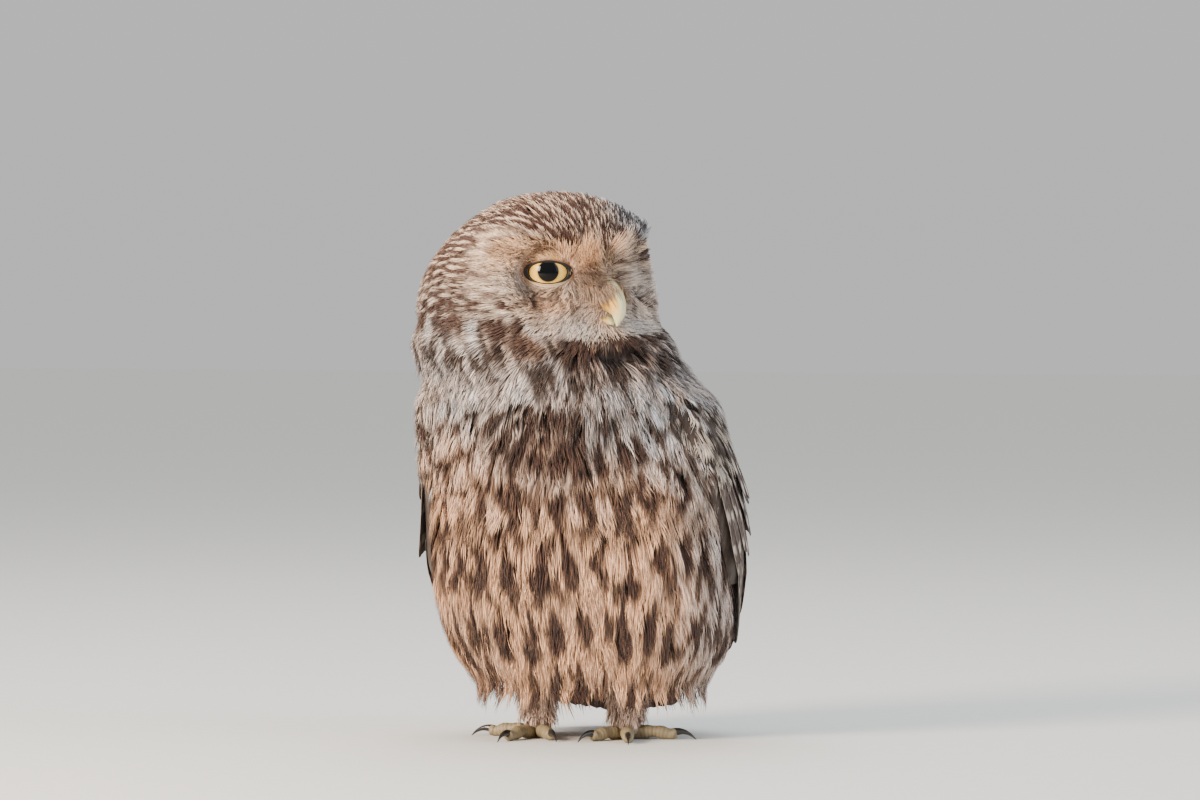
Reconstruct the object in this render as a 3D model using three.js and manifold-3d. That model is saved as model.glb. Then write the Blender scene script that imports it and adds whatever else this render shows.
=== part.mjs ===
// A life-size little owl standing upright on the ground, its breast to the front and its head
// turned to its own left. Millimetres, +Z up. The breast faces -Y and the owl's left is +X.
// The middle of the bird's box is over the origin, and its toes rest at z = 0.
import * as THREE from "three";
import { mergeVertices } from "three/addons/utils/BufferGeometryUtils.js";
import Module from "manifold-3d";

const wasm = await Module();
wasm.setup();

const GAP = 0.3; // what touching pieces keep between them
const DEG = Math.PI / 180;
const SEED = 11;
const UP = new THREE.Vector3(0, 0, 1);

// The trunk as level rings from the throat down. Each is a height, a middle (x, y) and the
// reach to each side, to the front and to the back.
const TRUNK_RINGS = [
  [156, -11, -20, 0.5, 0.5, 0.5],
  [155, -11, -20, 27, 23, 27],
  [149, -10.5, -19, 43.5, 36.5, 40],
  [140, -8, -16.5, 47.5, 40, 42],
  [128, -4, -13, 51, 43, 44],
  [114, -2.5, -9, 53.5, 46.5, 47],
  [98, -1, -5, 55.5, 49, 49],
  [80, 0, -1.5, 56.5, 50.5, 49.5],
  [62, 0, 1, 56.5, 50, 48],
  [46, 0.5, 3.5, 55, 47.5, 44],
  [33, 1, 5.5, 51.5, 44, 40],
  [23, 1, 7, 44.5, 38, 34],
  [16.5, 1, 8, 29, 25, 23],
  [15, 1, 8, 15, 13, 12],
  [14.8, 1, 8, 0.5, 0.5, 0.5],
];
// The folded wings lie on a wider guide, which hardly draws in under the belly.
const GUIDE = { from: 62, sideDraw: 0.14, backDraw: 0.08 };

const HEAD = {
  middle: new THREE.Vector3(-13, -22, 158),
  turn: 58 * DEG,
  side: 42.2,
  front: 37.6,
  back: 43.4,
  up: 42.6,
  down: 33,
  brim: 0.004, // how much taller the crown grows for each mm forward
  faceSquareness: 2.65,
  napeSquareness: 2,
};
const EYE = { radius: 9.2, side: 16.5, front: 24, up: 14.6, outward: 27 * DEG, drop: 3 * DEG };
const LID = { thick: 1.3, side: 54 * DEG, top: 26 * DEG, bottom: 36 * DEG, outer: 88 * DEG };
const BOWL = { radius: 13, ahead: 16.5, drop: 1.5 }; // the hollow of the face before each eye
const NOSTRIL = { radius: 0.9, side: 4.6, front: 38.4, up: 8.6 };
// What stands out of the plain form of the face, or is hollowed into it, and how far it reaches.
const RELIEF = {
  disc: { height: -2.4, reach: 11 },
  brow: { height: 2.6, reach: 5, inner: [4, 19], outer: [30, 27.5] },
  bridge: { height: 1.8, reach: 5, up: 11, rise: 12 },
  rim: { height: 1.6, reach: 4, radius: 23, from: 14, full: 26 },
  billBase: { height: 1.2, reach: 9, up: 1 },
};

const LEG = { side: 17, y: -3, top: 30, bottom: 3, shankRadius: 6, flare: 1.6, taper: 1.2 };
const PAD = { radius: 6.6, height: 7.4, sunk: 0.8 };
// Each toe's heading, outward from straight ahead, and its length without the claw.
const TOES = {
  inner: { heading: -30 * DEG, length: 19 },
  middle: { heading: 15 * DEG, length: 23 },
  outer: { heading: 95 * DEG, length: 19 },
  hind: { heading: 172 * DEG, length: 15 },
};
const TOE = { rootRadius: 2.5, tipRadius: 2, start: 3.5, arch: 1.1, flat: 0.82, joints: 3, jointRise: 0.1 };
const CLAW = { length: 9, radius: 1.45, sunk: 1.6, z: 2.5, rise: 22 * DEG, bend: 78 * DEG, tall: 1.15, taper: 0.92 };

const TAIL = { feathers: 12, length: 66, rootZ: 70, rootY: 50.5, lean: 8 * DEG, step: 0.15, shorter: 0.9 };
const TAIL_SPREAD = { root: 1.9, tip: 3.8, halfWidth: 5.2, thick: 0.6 };
const VANE = { thick: 0.9, roll: 0.2, taper: 0.3 };
const HEM = {
  count: 18,
  rootLevel: 9.4, // rings of the trunk
  tipLevel: 11.2,
  tip: 8.6,
  tipSpread: 4.5,
  halfWidth: 8.4,
  thick: 1.6,
};
const NECK = { top: 147, bottom: 131, tilt: 8 * DEG };

// Random numbers from 0 to 1 that come out the same on every run.
function seeded(seed) {
  let state = seed;
  return () => {
    state = (state * 1664525 + 1013904223) % 4294967296;
    return state / 4294967296;
  };
}

const mix = THREE.MathUtils.lerp;
const smooth = THREE.MathUtils.smoothstep;

// A smooth row of numbers between evenly numbered rows: a uniform Catmull-Rom curve.
function smoothRow(rows, at) {
  const last = rows.length - 1;
  const i = Math.min(Math.floor(at), last - 1);
  const t = at - i;
  const [a, b, c, d] = [-1, 0, 1, 2].map((k) => rows[Math.min(Math.max(i + k, 0), last)]);
  return b.map((_, n) => {
    const cubic = 3 * (b[n] - c[n]) + d[n] - a[n];
    const square = 2 * a[n] - 5 * b[n] + 4 * c[n] - d[n];
    return b[n] + 0.5 * t * (c[n] - a[n] + t * (square + t * cubic));
  });
}

// A number read off a list of [key, value] pairs with falling keys, straight between them.
function readOff(pairs, key) {
  const i = pairs.findIndex(([k]) => k <= key);
  if (i === 0) return pairs[0][1];
  if (i < 0) return pairs[pairs.length - 1][1];
  const [[k0, v0], [k1, v1]] = [pairs[i - 1], pairs[i]];
  return mix(v0, v1, (key - k0) / (k1 - k0));
}

// Turns a closed geometry into a solid, whichever way its faces pointed.
function solidOf(geometry) {
  const bare = geometry.clone();
  bare.deleteAttribute("normal");
  bare.deleteAttribute("uv");
  const merged = mergeVertices(bare, 1e-4);
  const make = (triVerts) =>
    new wasm.Manifold(
      new wasm.Mesh({ numProp: 3, vertProperties: new Float32Array(merged.attributes.position.array), triVerts }),
    );
  const triVerts = new Uint32Array(merged.index.array);
  const made = make(triVerts);
  return made.volume() < 0 ? make(triVerts.map((_, i) => triVerts[i - (i % 3) + [0, 2, 1][i % 3]])) : made;
}

// The largest closed surface of a solid, as geometry.
function geometryOf(solid) {
  const [largest] = solid.decompose().sort((a, b) => b.volume() - a.volume());
  const mesh = largest.getMesh();
  return new THREE.BufferGeometry()
    .setAttribute("position", new THREE.BufferAttribute(mesh.vertProperties, 3))
    .setIndex(new THREE.BufferAttribute(mesh.triVerts, 1));
}

const fuse = (solids) => wasm.Manifold.union(solids);

// A sphere's grid with each vertex moved to point(u, v): u goes round, v from pole to pole.
function wrapped(columns, rows, point) {
  const geometry = new THREE.SphereGeometry(1, columns, rows);
  const position = geometry.attributes.position;
  for (let n = 0; n < position.count; n++) {
    const column = (n % (columns + 1)) % columns;
    const row = Math.floor(n / (columns + 1));
    const pole = row === 0 || row === rows;
    const p = point(pole ? 0 : column / columns, row / rows);
    position.setXYZ(n, p.x, p.y, p.z);
  }
  return solidOf(geometry);
}

// A closed plate between two faces, each a grid over (u, v), cut into triangles alike.
function plate(columns, rows, upper, under) {
  const across = columns + 1;
  const below = across * (rows + 1);
  const positions = [];
  for (const face of [upper, under])
    for (let j = 0; j <= rows; j++)
      for (let i = 0; i <= columns; i++) positions.push(...face(i / columns, j / rows).toArray());
  const index = [];
  const quad = (a, b, c, d) => index.push(a, b, c, a, c, d);
  for (let j = 0; j < rows; j++)
    for (let i = 0; i < columns; i++) {
      const [a, b] = [j * across + i, j * across + i + 1];
      const [c, d] = [b + across, a + across];
      quad(a, b, c, d);
      quad(a + below, d + below, c + below, b + below);
    }
  const rim = [];
  for (let i = 0; i < columns; i++) rim.push(i);
  for (let j = 0; j < rows; j++) rim.push(j * across + columns);
  for (let i = columns; i > 0; i--) rim.push(rows * across + i);
  for (let j = rows; j > 0; j--) rim.push(j * across);
  rim.forEach((p, n) => {
    const q = rim[(n + 1) % rim.length];
    quad(q, p, p + below, q + below);
  });
  const geometry = new THREE.BufferGeometry()
    .setAttribute("position", new THREE.Float32BufferAttribute(positions, 3))
    .setIndex(index);
  return solidOf(geometry);
}

// A tapering rod along path(s): its section is an oval, halfWidth(s) along across(s) and
// halfHeight(s) square to that. The ends close to a point.
function rod(columns, rows, path, across, halfWidth, halfHeight) {
  const step = 1e-3;
  return wrapped(columns, rows, (u, v) => {
    const s = THREE.MathUtils.clamp((v * rows - 0.5) / (rows - 1), 0, 1);
    const ahead = path(Math.min(s + step, 1)).sub(path(Math.max(s - step, 0))).normalize();
    const side = across(s);
    const rise = side.clone().cross(ahead);
    const open = v > 0 && v < 1 ? 1 : 0;
    const turn = 2 * Math.PI * u;
    return path(s)
      .addScaledVector(side, open * halfWidth(s) * Math.cos(turn))
      .addScaledVector(rise, open * halfHeight(s) * Math.sin(turn));
  });
}

const BELOW_FLOOR = solidOf(new THREE.BoxGeometry(400, 400, 40).translate(0, 0, -20));

// A point of the trunk: turn runs from the breast to the owl's left, level along the rings.
function trunkPoint(turn, level, grow = 0) {
  const [z, x, y, side, front, back] = smoothRow(TRUNK_RINGS, level);
  const reach = Math.cos(turn) > 0 ? front : back;
  const cap = smooth(level, 11, 13) - 1 + smooth(level, 0.5, 2);
  return new THREE.Vector3(
    x + (side + grow) * Math.sin(turn),
    y - (reach + grow) * Math.cos(turn),
    z - grow * cap,
  );
}

function trunkSolid(grow = 0) {
  const last = TRUNK_RINGS.length - 1;
  return wrapped(32, 22, (u, v) => trunkPoint(2 * Math.PI * u, last * v, grow));
}

// The ring of the trunk at a height, widened below GUIDE.from for the wings.
function guideRing(z) {
  let [low, high] = [0, TRUNK_RINGS.length - 1];
  const height = Math.max(z, GUIDE.from);
  for (let n = 0; n < 24; n++) {
    const middle = (low + high) / 2;
    if (smoothRow(TRUNK_RINGS, middle)[0] > height) low = middle;
    else high = middle;
  }
  const [, x, y, side, front, back] = smoothRow(TRUNK_RINGS, low);
  const under = Math.max(GUIDE.from - z, 0);
  return [x, y + 0.1 * under, side - GUIDE.sideDraw * under, front, back - GUIDE.backDraw * under];
}

// A point over the trunk for the wing on one side (1 is the owl's left), lifted off its skin.
function guidePoint(side, turn, z, lift) {
  const at = (t, h) => {
    const [x, y, reach, front, back] = guideRing(h);
    const deep = Math.cos(t) > 0 ? front : back;
    return new THREE.Vector3(x + side * reach * Math.sin(t), y - deep * Math.cos(t), h);
  };
  const step = 0.01;
  const round = at(turn + step, z).sub(at(turn - step, z));
  const rise = at(turn, z + 50 * step).sub(at(turn, z - 50 * step));
  const out = round.cross(rise).multiplyScalar(side).normalize();
  return at(turn, z).addScaledVector(out, lift);
}

// A feather's vane laid over the trunk from a root to a tip, each [turn in degrees, z, lift].
// It is rolled so that its front edge lies over the feather before it, as on a folded wing.
function wingVane(side, root, tip, halfWidth) {
  const along = (s) => {
    const [turn, z, lift] = root.map((value, k) => mix(value, tip[k], s));
    return { turn: turn * DEG, z, lift };
  };
  const place = (s, lift) => {
    const at = along(s);
    return guidePoint(side, at.turn, at.z, at.lift + lift);
  };
  const width = (s) => halfWidth * Math.min(0.6 + 0.9 * s, 1) * Math.sqrt(1 - 0.97 * smooth(s, 0.62, 1.04) ** 2);
  const face = (offset) => (u, v) => {
    const s = 1 - (1 - v) ** 1.4;
    const middle = place(s, 0);
    const out = place(s, 1).sub(middle);
    const ahead = place(Math.min(s + 0.01, 1), 0).sub(place(Math.max(s - 0.01, 0), 0)).normalize();
    const sideways = ahead.cross(out);
    const across = (2 * u - 1) * width(s);
    return middle
      .addScaledVector(sideways, across)
      .addScaledVector(out, offset * (1 - VANE.taper * s) + side * VANE.roll * across);
  };
  return plate(1, 4, face(VANE.thick / 2), face(-VANE.thick / 2));
}

const WING_FRONT = [
  [128, 60],
  [118, 62],
  [104, 67],
  [88, 71],
  [72, 75],
  [58, 82],
  [46, 92],
  [36, 106],
];
const WING_BACK = [
  [128, 118],
  [118, 152],
  [104, 166],
  [88, 169],
  [72, 168],
  [58, 160],
  [46, 152],
  [36, 146],
];
const WING_TOP = 127;
const WING_SHELL_BOTTOM = 42;
// The tiers of a wing, from the lowest lying to the uppermost: how many vanes, half a vane's
// width, the first vane's root, the step from root to root, the first tip, and the step from tip
// to tip. A root or tip is [degrees round from the breast, height, lift off the trunk].
const WING_TIERS = {
  primaries: [6, 4.2, [80, 76, 2], [4, 1, 0], [107, 38, 2.6], [7.2, -3, 0.2]],
  secondaries: [5, 6, [92, 90, 2], [12, 0, 0], [118, 45, 4.4], [9.6, 1.9, 0]],
  alula: [3, 4.2, [75, 101, 2], [5, 0, 0], [82, 66, 4.5], [7, 1.5, 0]],
  coverts: [5, 7, [86, 107, 2], [14, 0, 0], [99, 77, 5.7], [13.4, -0.7, 0]],
  tertials: [3, 6, [138, 108, 2.4], [9, 0, 0], [150, 56, 6.2], [7, 4, 0]],
  scapulars: [5, 7.6, [98, 125, 1], [14, 0, 0], [103, 97, 6.7], [14.5, -1, 0]],
};

// How far the closed part of the wing stands off the trunk.
function wingDepth(p, q) {
  return 1.2 + 2.4 * smooth(p, -0.04, 0.22) * smooth(1 - p, -0.04, 0.4) * smooth(q, -0.05, 0.2) * (1 - 0.4 * q);
}

function wingShell(side) {
  const face = (lift) => (u, v) => {
    const z = mix(WING_TOP, WING_SHELL_BOTTOM, v);
    const turn = mix(readOff(WING_FRONT, z), readOff(WING_BACK, z), u);
    return guidePoint(side, turn * DEG, z, lift(u, v));
  };
  return plate(6, 6, face(wingDepth), face(() => 0.8));
}

// All the vanes of one wing.
function wingVanes(side) {
  const step = (from, by, i) => from.map((value, k) => value + by[k] * i);
  return Object.values(WING_TIERS).flatMap(([count, halfWidth, root, rootStep, tip, tipStep]) =>
    Array.from({ length: count }, (_, i) => wingVane(side, step(root, rootStep, i), step(tip, tipStep, i), halfWidth)),
  );
}

function tailSolid(grow = 0) {
  const down = new THREE.Vector3(0, Math.sin(TAIL.lean), -Math.cos(TAIL.lean));
  const out = new THREE.Vector3(0, Math.cos(TAIL.lean), Math.sin(TAIL.lean));
  const root = new THREE.Vector3(0, TAIL.rootY, TAIL.rootZ);
  const vane = (i) => {
    const place = i - (TAIL.feathers - 1) / 2;
    const away = Math.sign(place);
    const layer = -TAIL.step * Math.floor(Math.abs(place));
    const length = TAIL.length - TAIL.shorter * Math.abs(place) + grow;
    const half = TAIL_SPREAD.halfWidth + grow;
    const face = (offset) => (u, v) => {
      const s = 1 - (1 - v) ** 1.3;
      const width = half * Math.min(0.7 + 0.8 * s, 1) * Math.sqrt(1 - 0.95 * smooth(s, 0.82, 1.02) ** 2);
      const across = 2 * u - 1;
      return root
        .clone()
        .addScaledVector(down, s * length - grow * (1 - s))
        .addScaledVector(out, layer + offset + VANE.roll * away * across * width)
        .add(new THREE.Vector3(place * mix(TAIL_SPREAD.root, TAIL_SPREAD.tip, s) + across * width, 0, 0));
    };
    const thick = TAIL_SPREAD.thick / 2 + grow;
    return plate(1, 4, face(thick), face(-thick));
  };
  return fuse(Array.from({ length: TAIL.feathers }, (_, i) => vane(i)));
}

// Takes a place in the head's own axes (left, forward, up from its middle) to the owl's.
function headPlace(left, forward, up) {
  return new THREE.Vector3(left, -forward, up).applyAxisAngle(UP, HEAD.turn).add(HEAD.middle);
}

function headHeading(left, forward, up) {
  return new THREE.Vector3(left, -forward, up).applyAxisAngle(UP, HEAD.turn).normalize();
}

// How far the face stands out from the plain form of the head: the discs round the eyes are
// hollow, and the brows, the bridge, the cheeks' rim and the base of the bill stand proud.
function faceRelief(left, up) {
  const hill = (d, reach) => Math.exp(-((d / reach) ** 2));
  const side = Math.abs(left);
  const { disc, brow, bridge, rim, billBase } = RELIEF;
  const toEye = Math.hypot(side - EYE.side, up - EYE.up);
  const along = THREE.MathUtils.clamp((side - brow.inner[0]) / (brow.outer[0] - brow.inner[0]), 0, 1);
  const [browSide, browUp] = brow.inner.map((value, k) => mix(value, brow.outer[k], along));
  return (
    disc.height * hill(toEye, disc.reach) +
    brow.height * hill(Math.hypot(side - browSide, up - browUp), brow.reach) +
    bridge.height * hill(left, bridge.reach) * hill(up - bridge.up, bridge.rise) +
    rim.height * hill(toEye - rim.radius, rim.reach) * smooth(side, rim.from, rim.full) +
    billBase.height * hill(Math.hypot(left, up - billBase.up), billBase.reach)
  );
}

// A point of the head on rings about its forward axis, finer towards the face.
function headPoint(u, v, grow = 0) {
  const fromFront = Math.PI * (0.5 * v + 0.5 * v * v);
  const round = 2 * Math.PI * u;
  const [left, forward, up] = [
    Math.sin(fromFront) * Math.cos(round),
    Math.cos(fromFront),
    Math.sin(fromFront) * Math.sin(round),
  ];
  const squareness = mix(HEAD.napeSquareness, HEAD.faceSquareness, smooth(forward, -0.3, 0.6));
  const share = (value, above, below) => (Math.abs(value) / (value > 0 ? above : below)) ** squareness;
  const shares =
    share(left, HEAD.side, HEAD.side) + share(forward, HEAD.front, HEAD.back) + share(up, HEAD.up, HEAD.down);
  const reach = shares ** (-1 / squareness);
  const out = reach + grow + faceRelief(left * reach, up * reach) * smooth(forward, 0.05, 0.5);
  const brim = 1 + HEAD.brim * forward * reach * smooth(up, 0, 0.6);
  return headPlace(left * out, forward * out, up * out * brim);
}

const headSolid = (grow = 0) => wrapped(36, 22, (u, v) => headPoint(u, v, grow));

// One eye's middle and its own axes: the way it looks, sideways and up.
function eyeFrame(side) {
  const level = Math.cos(EYE.drop);
  const look = headHeading(side * Math.sin(EYE.outward) * level, Math.cos(EYE.outward) * level, -Math.sin(EYE.drop));
  const across = UP.clone().cross(look).normalize();
  return { middle: headPlace(side * EYE.side, EYE.front, EYE.up), look, across, rise: look.clone().cross(across) };
}

function ball(middle, radius, columns = 16, rows = 10) {
  return solidOf(new THREE.SphereGeometry(radius, columns, rows).rotateX(Math.PI / 2).translate(...middle.toArray()));
}

// Both lids of an eye as one ring over the eyeball, open as wide as the lids are.
function lidRing(side) {
  const { middle, look, across, rise } = eyeFrame(side);
  const [columns, steps] = [20, 3];
  const inner = EYE.radius + GAP - 0.5;
  const outer = EYE.radius + GAP + LID.thick;
  const opening = (a) => {
    const tall = Math.sin(a) > 0 ? LID.top : LID.bottom;
    return (Math.abs(Math.cos(a) / LID.side) ** 2 + Math.abs(Math.sin(a) / tall) ** 2) ** -0.5;
  };
  const section = [];
  for (let n = 0; n <= steps; n++) section.push([n / steps, outer - (n === 0 ? 0.5 : 0)]);
  for (let n = steps; n >= 0; n--) section.push([n / steps, inner]);
  const positions = [];
  for (let i = 0; i < columns; i++) {
    const a = (2 * Math.PI * i) / columns;
    for (const [share, radius] of section) {
      const away = mix(opening(a), LID.outer, share);
      const spoke = across.clone().multiplyScalar(Math.cos(a)).addScaledVector(rise, Math.sin(a));
      const p = middle.clone().addScaledVector(look, radius * Math.cos(away));
      positions.push(...p.addScaledVector(spoke, radius * Math.sin(away)).toArray());
    }
  }
  const count = section.length;
  const index = [];
  for (let i = 0; i < columns; i++)
    for (let n = 0; n < count; n++) {
      const next = ((i + 1) % columns) * count;
      const [a, b, c, d] = [i * count + n, i * count + ((n + 1) % count), next + ((n + 1) % count), next + n];
      index.push(a, b, c, a, c, d);
    }
  return solidOf(
    new THREE.BufferGeometry().setAttribute("position", new THREE.Float32BufferAttribute(positions, 3)).setIndex(index),
  );
}

// A bill half as a rod whose rows are [forward, up, half width, half height] in the head's axes.
function billRod(rows) {
  const left = headHeading(1, 0, 0);
  const at = (s) => smoothRow(rows, s * (rows.length - 1));
  return rod(8, 8, (s) => headPlace(0, at(s)[0], at(s)[1]), () => left, (s) => at(s)[2], (s) => at(s)[3]);
}

const BILL_UPPER = [
  [28, 8, 5, 6],
  [35.5, 7.4, 5.2, 6.2],
  [41, 4, 4.4, 4.9],
  [43.8, -1.2, 2.7, 2.9],
  [43.2, -7, 0.3, 0.3],
];
const BILL_LOWER = [
  [28, -1.6, 4.2, 2],
  [34, -2, 4, 1.9],
  [38.6, -2.9, 3, 1.5],
  [41, -4.2, 0.8, 0.5],
];

// The legs, toes and claws of one side (1 is the owl's left).
const legFoot = (side) => new THREE.Vector3(side * LEG.side, LEG.y, 0);

function legSolid(side, grow = 0) {
  const foot = legFoot(side);
  const shank = wrapped(12, 5, (u, v) => {
    const radius = LEG.shankRadius + LEG.flare * (1 - v) - LEG.taper * v;
    return new THREE.Vector3(Math.cos(2 * Math.PI * u), Math.sin(2 * Math.PI * u), 0)
      .multiplyScalar((v === 0 || v === 1 ? 0.1 : radius) + grow)
      .add(foot)
      .setZ(mix(LEG.top, LEG.bottom, v));
  });
  const pad = solidOf(
    new THREE.SphereGeometry(1, 12, 8)
      .rotateX(Math.PI / 2)
      .scale(PAD.radius + grow, PAD.radius + grow, PAD.height / 2 + grow)
      .translate(foot.x, foot.y, PAD.height / 2 - PAD.sunk),
  );
  return fuse([shank, pad]);
}

const toeHeading = (side, toe) =>
  new THREE.Vector3(side * Math.sin(TOES[toe].heading), -Math.cos(TOES[toe].heading), 0);

function toeSolid(side, toe, grow = 0) {
  const ahead = toeHeading(side, toe);
  const across = UP.clone().cross(ahead);
  const plain = (s) => mix(TOE.rootRadius, TOE.tipRadius, s);
  const radius = (s) => plain(s) * (1 + TOE.jointRise * Math.cos(2 * Math.PI * TOE.joints * s)) + grow;
  const path = (s) =>
    legFoot(side)
      .addScaledVector(ahead, mix(TOE.start, TOES[toe].length, s) + grow * (2 * s - 1))
      .setZ(TOE.flat * plain(s) + TOE.arch * Math.sin(Math.PI * s) ** 2);
  return rod(8, 6, path, () => across, radius, radius);
}

function clawSolid(side, toe) {
  const ahead = toeHeading(side, toe);
  const across = UP.clone().cross(ahead);
  const start = legFoot(side).addScaledVector(ahead, TOES[toe].length - CLAW.sunk).setZ(CLAW.z);
  const path = (s) => {
    const rise = CLAW.rise - 0.5 * CLAW.bend * s;
    const reach = CLAW.length * s;
    return start.clone().addScaledVector(ahead, reach * Math.cos(rise)).addScaledVector(UP, reach * Math.sin(rise));
  };
  const radius = (s) => CLAW.radius * (1 - CLAW.taper * s);
  return rod(6, 5, path, () => across, radius, (s) => CLAW.tall * radius(s));
}

// The tips of the belly's long soft feathers, hanging round its hem in front of the legs.
function hemLocks() {
  const random = seeded(SEED);
  const round = (turn) => trunkPoint(turn + 0.01, 10).sub(trunkPoint(turn - 0.01, 10)).normalize();
  return Array.from({ length: HEM.count }, (_, i) => {
    const turn = ((i + 0.4 * random()) / HEM.count) * 2 * Math.PI;
    const tip = HEM.tip + HEM.tipSpread * random();
    const halfWidth = HEM.halfWidth + 2 * random();
    const layer = i % 2 === 0 ? 0 : -HEM.thick - GAP;
    const place = (s, lift) => {
      const level = mix(HEM.rootLevel, HEM.tipLevel, Math.min(s * 1.6, 1));
      const p = trunkPoint(turn, level, lift + layer + mix(-1.6, 0.4, s));
      return p.setZ(mix(smoothRow(TRUNK_RINGS, HEM.rootLevel)[0], tip, s));
    };
    const face = (offset) => (u, v) => {
      const across = (2 * u - 1) * halfWidth * Math.sqrt(1 - 0.94 * smooth(v, 0.4, 1.03) ** 2);
      return place(v, offset).addScaledVector(round(turn), across);
    };
    return plate(1, 3, face(HEM.thick / 2), face(-HEM.thick / 2));
  });
}

// The half of space above or below a parting, less half of the gap.
function halfSpace(z, above) {
  const shift = (above ? 1 : -1) * (150 + GAP / 2);
  const box = new THREE.BoxGeometry(400, 400, 300).translate(0, 0, shift).rotateX(NECK.tilt).rotateZ(HEAD.turn);
  return solidOf(box.translate(HEAD.middle.x, HEAD.middle.y, z));
}

const plumage = (colour) => new THREE.MeshStandardMaterial({ color: colour, roughness: 0.95, metalness: 0 });
const FINISH = {
  breast: plumage(0xb49a86),
  crown: plumage(0x8f7566),
  back: plumage(0x6f5a4d),
  shank: plumage(0xcdbcab),
  eye: new THREE.MeshStandardMaterial({ color: 0xe9c25e, roughness: 0.05, metalness: 0 }),
  bill: new THREE.MeshStandardMaterial({ color: 0xcdbb78, roughness: 0.4, metalness: 0 }),
  toe: new THREE.MeshStandardMaterial({ color: 0xa08f74, roughness: 0.8, metalness: 0 }),
  claw: new THREE.MeshStandardMaterial({ color: 0x2c2622, roughness: 0.35, metalness: 0 }),
};

const owl = new THREE.Group();

function add(name, solid, finish) {
  const mesh = new THREE.Mesh(geometryOf(solid), finish);
  mesh.name = name;
  owl.add(mesh);
}

const sides = { left: 1, right: -1 };
const eyes = Object.fromEntries(Object.entries(sides).map(([name, side]) => [name, eyeFrame(side)]));

// The whole body first: the head with its bowls and lids, on the trunk with its hem.
function bodySolid() {
  const bowls = Object.values(eyes).map(({ middle, look }) =>
    ball(middle.clone().addScaledVector(look, BOWL.ahead).addScaledVector(UP, -BOWL.drop), BOWL.radius),
  );
  const sockets = Object.values(eyes).map(({ middle }) => ball(middle, EYE.radius + GAP));
  const head = headSolid().subtract(fuse(bowls)).add(fuse(Object.values(sides).map(lidRing)));
  return fuse([head.subtract(fuse(sockets)), fuse([trunkSolid(), ...hemLocks()])]);
}

const tail = tailSolid();
const tailRoom = tailSolid(GAP);
const trunkRoom = trunkSolid(GAP);
const headRoom = headSolid(GAP);
const body = bodySolid().subtract(tailRoom);

add("head", body.intersect(halfSpace(NECK.top, true)), FINISH.crown);
add("neck", body.intersect(halfSpace(NECK.top, false)).intersect(halfSpace(NECK.bottom, true)), FINISH.breast);
add("torso", body.intersect(halfSpace(NECK.bottom, false)), FINISH.breast);
add("tail", tail, FINISH.back);

const billUpper = billRod(BILL_UPPER);
const nostrils = [-1, 1].map((side) => {
  const place = headPlace(side * NOSTRIL.side, NOSTRIL.front, NOSTRIL.up);
  return ball(place, NOSTRIL.radius, 6, 4);
});
add("bill_upper", billUpper.subtract(headRoom).subtract(fuse(nostrils)), FINISH.bill);
const billUpperRoom = billRod(BILL_UPPER.map(([f, u, w, h]) => [f, u, w + GAP, h + GAP]));
add("bill_lower", billRod(BILL_LOWER).subtract(headRoom).subtract(billUpperRoom), FINISH.bill);

for (const [name, side] of Object.entries(sides)) {
  add("eye_" + name, ball(eyes[name].middle, EYE.radius), FINISH.eye);
  const wing = fuse([wingShell(side), ...wingVanes(side)]);
  add("wing_" + name, wing.subtract(tailRoom).subtract(trunkRoom), FINISH.back);
  add("leg_" + name, legSolid(side).subtract(trunkRoom).subtract(BELOW_FLOOR), FINISH.shank);
  const legRoom = legSolid(side, GAP);
  for (const toe of Object.keys(TOES)) {
    add("toe_" + name + "_" + toe, toeSolid(side, toe).subtract(legRoom).subtract(BELOW_FLOOR), FINISH.toe);
    const claw = clawSolid(side, toe).subtract(toeSolid(side, toe, GAP)).subtract(BELOW_FLOOR);
    add("claw_" + name + "_" + toe, claw, FINISH.claw);
  }
}

// Stand the bird with the middle of its box over the origin.
const box = new THREE.Box3().setFromObject(owl);
const middle = box.getCenter(new THREE.Vector3());
owl.position.set(-middle.x, -middle.y, -box.min.z);

export default owl;
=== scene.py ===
import functools
import itertools
import math
from typing import NamedTuple

import bpy
import numpy as np
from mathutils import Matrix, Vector


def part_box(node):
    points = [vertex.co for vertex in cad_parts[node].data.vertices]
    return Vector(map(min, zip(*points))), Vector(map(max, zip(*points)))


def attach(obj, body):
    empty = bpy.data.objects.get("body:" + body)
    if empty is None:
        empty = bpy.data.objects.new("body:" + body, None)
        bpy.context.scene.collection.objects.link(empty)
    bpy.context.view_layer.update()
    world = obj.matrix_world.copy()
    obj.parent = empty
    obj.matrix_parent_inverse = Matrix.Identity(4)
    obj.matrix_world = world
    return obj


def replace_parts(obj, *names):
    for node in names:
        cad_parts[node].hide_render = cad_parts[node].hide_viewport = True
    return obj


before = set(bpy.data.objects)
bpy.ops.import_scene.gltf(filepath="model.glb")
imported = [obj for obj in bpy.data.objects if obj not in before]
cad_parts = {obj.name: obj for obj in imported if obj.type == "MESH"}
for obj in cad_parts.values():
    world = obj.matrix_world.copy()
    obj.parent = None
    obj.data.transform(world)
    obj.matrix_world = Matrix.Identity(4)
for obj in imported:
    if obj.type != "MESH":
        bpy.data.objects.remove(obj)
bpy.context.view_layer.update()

bl_info = {
    "name": "Little Owl",
    "version": (1, 0, 0),
    "blender": (4, 5, 0),
    "location": "View3D > Sidebar > Little Owl",
    "description": "Builds the plumage, eyes, bill and feet of a life-size little owl over its solids",
    "category": "Add Mesh",
}

MM = 0.001
DEG = math.pi / 180
SIDES = {"left": 1, "right": -1}
PIECE_LIMIT = 190000

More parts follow.
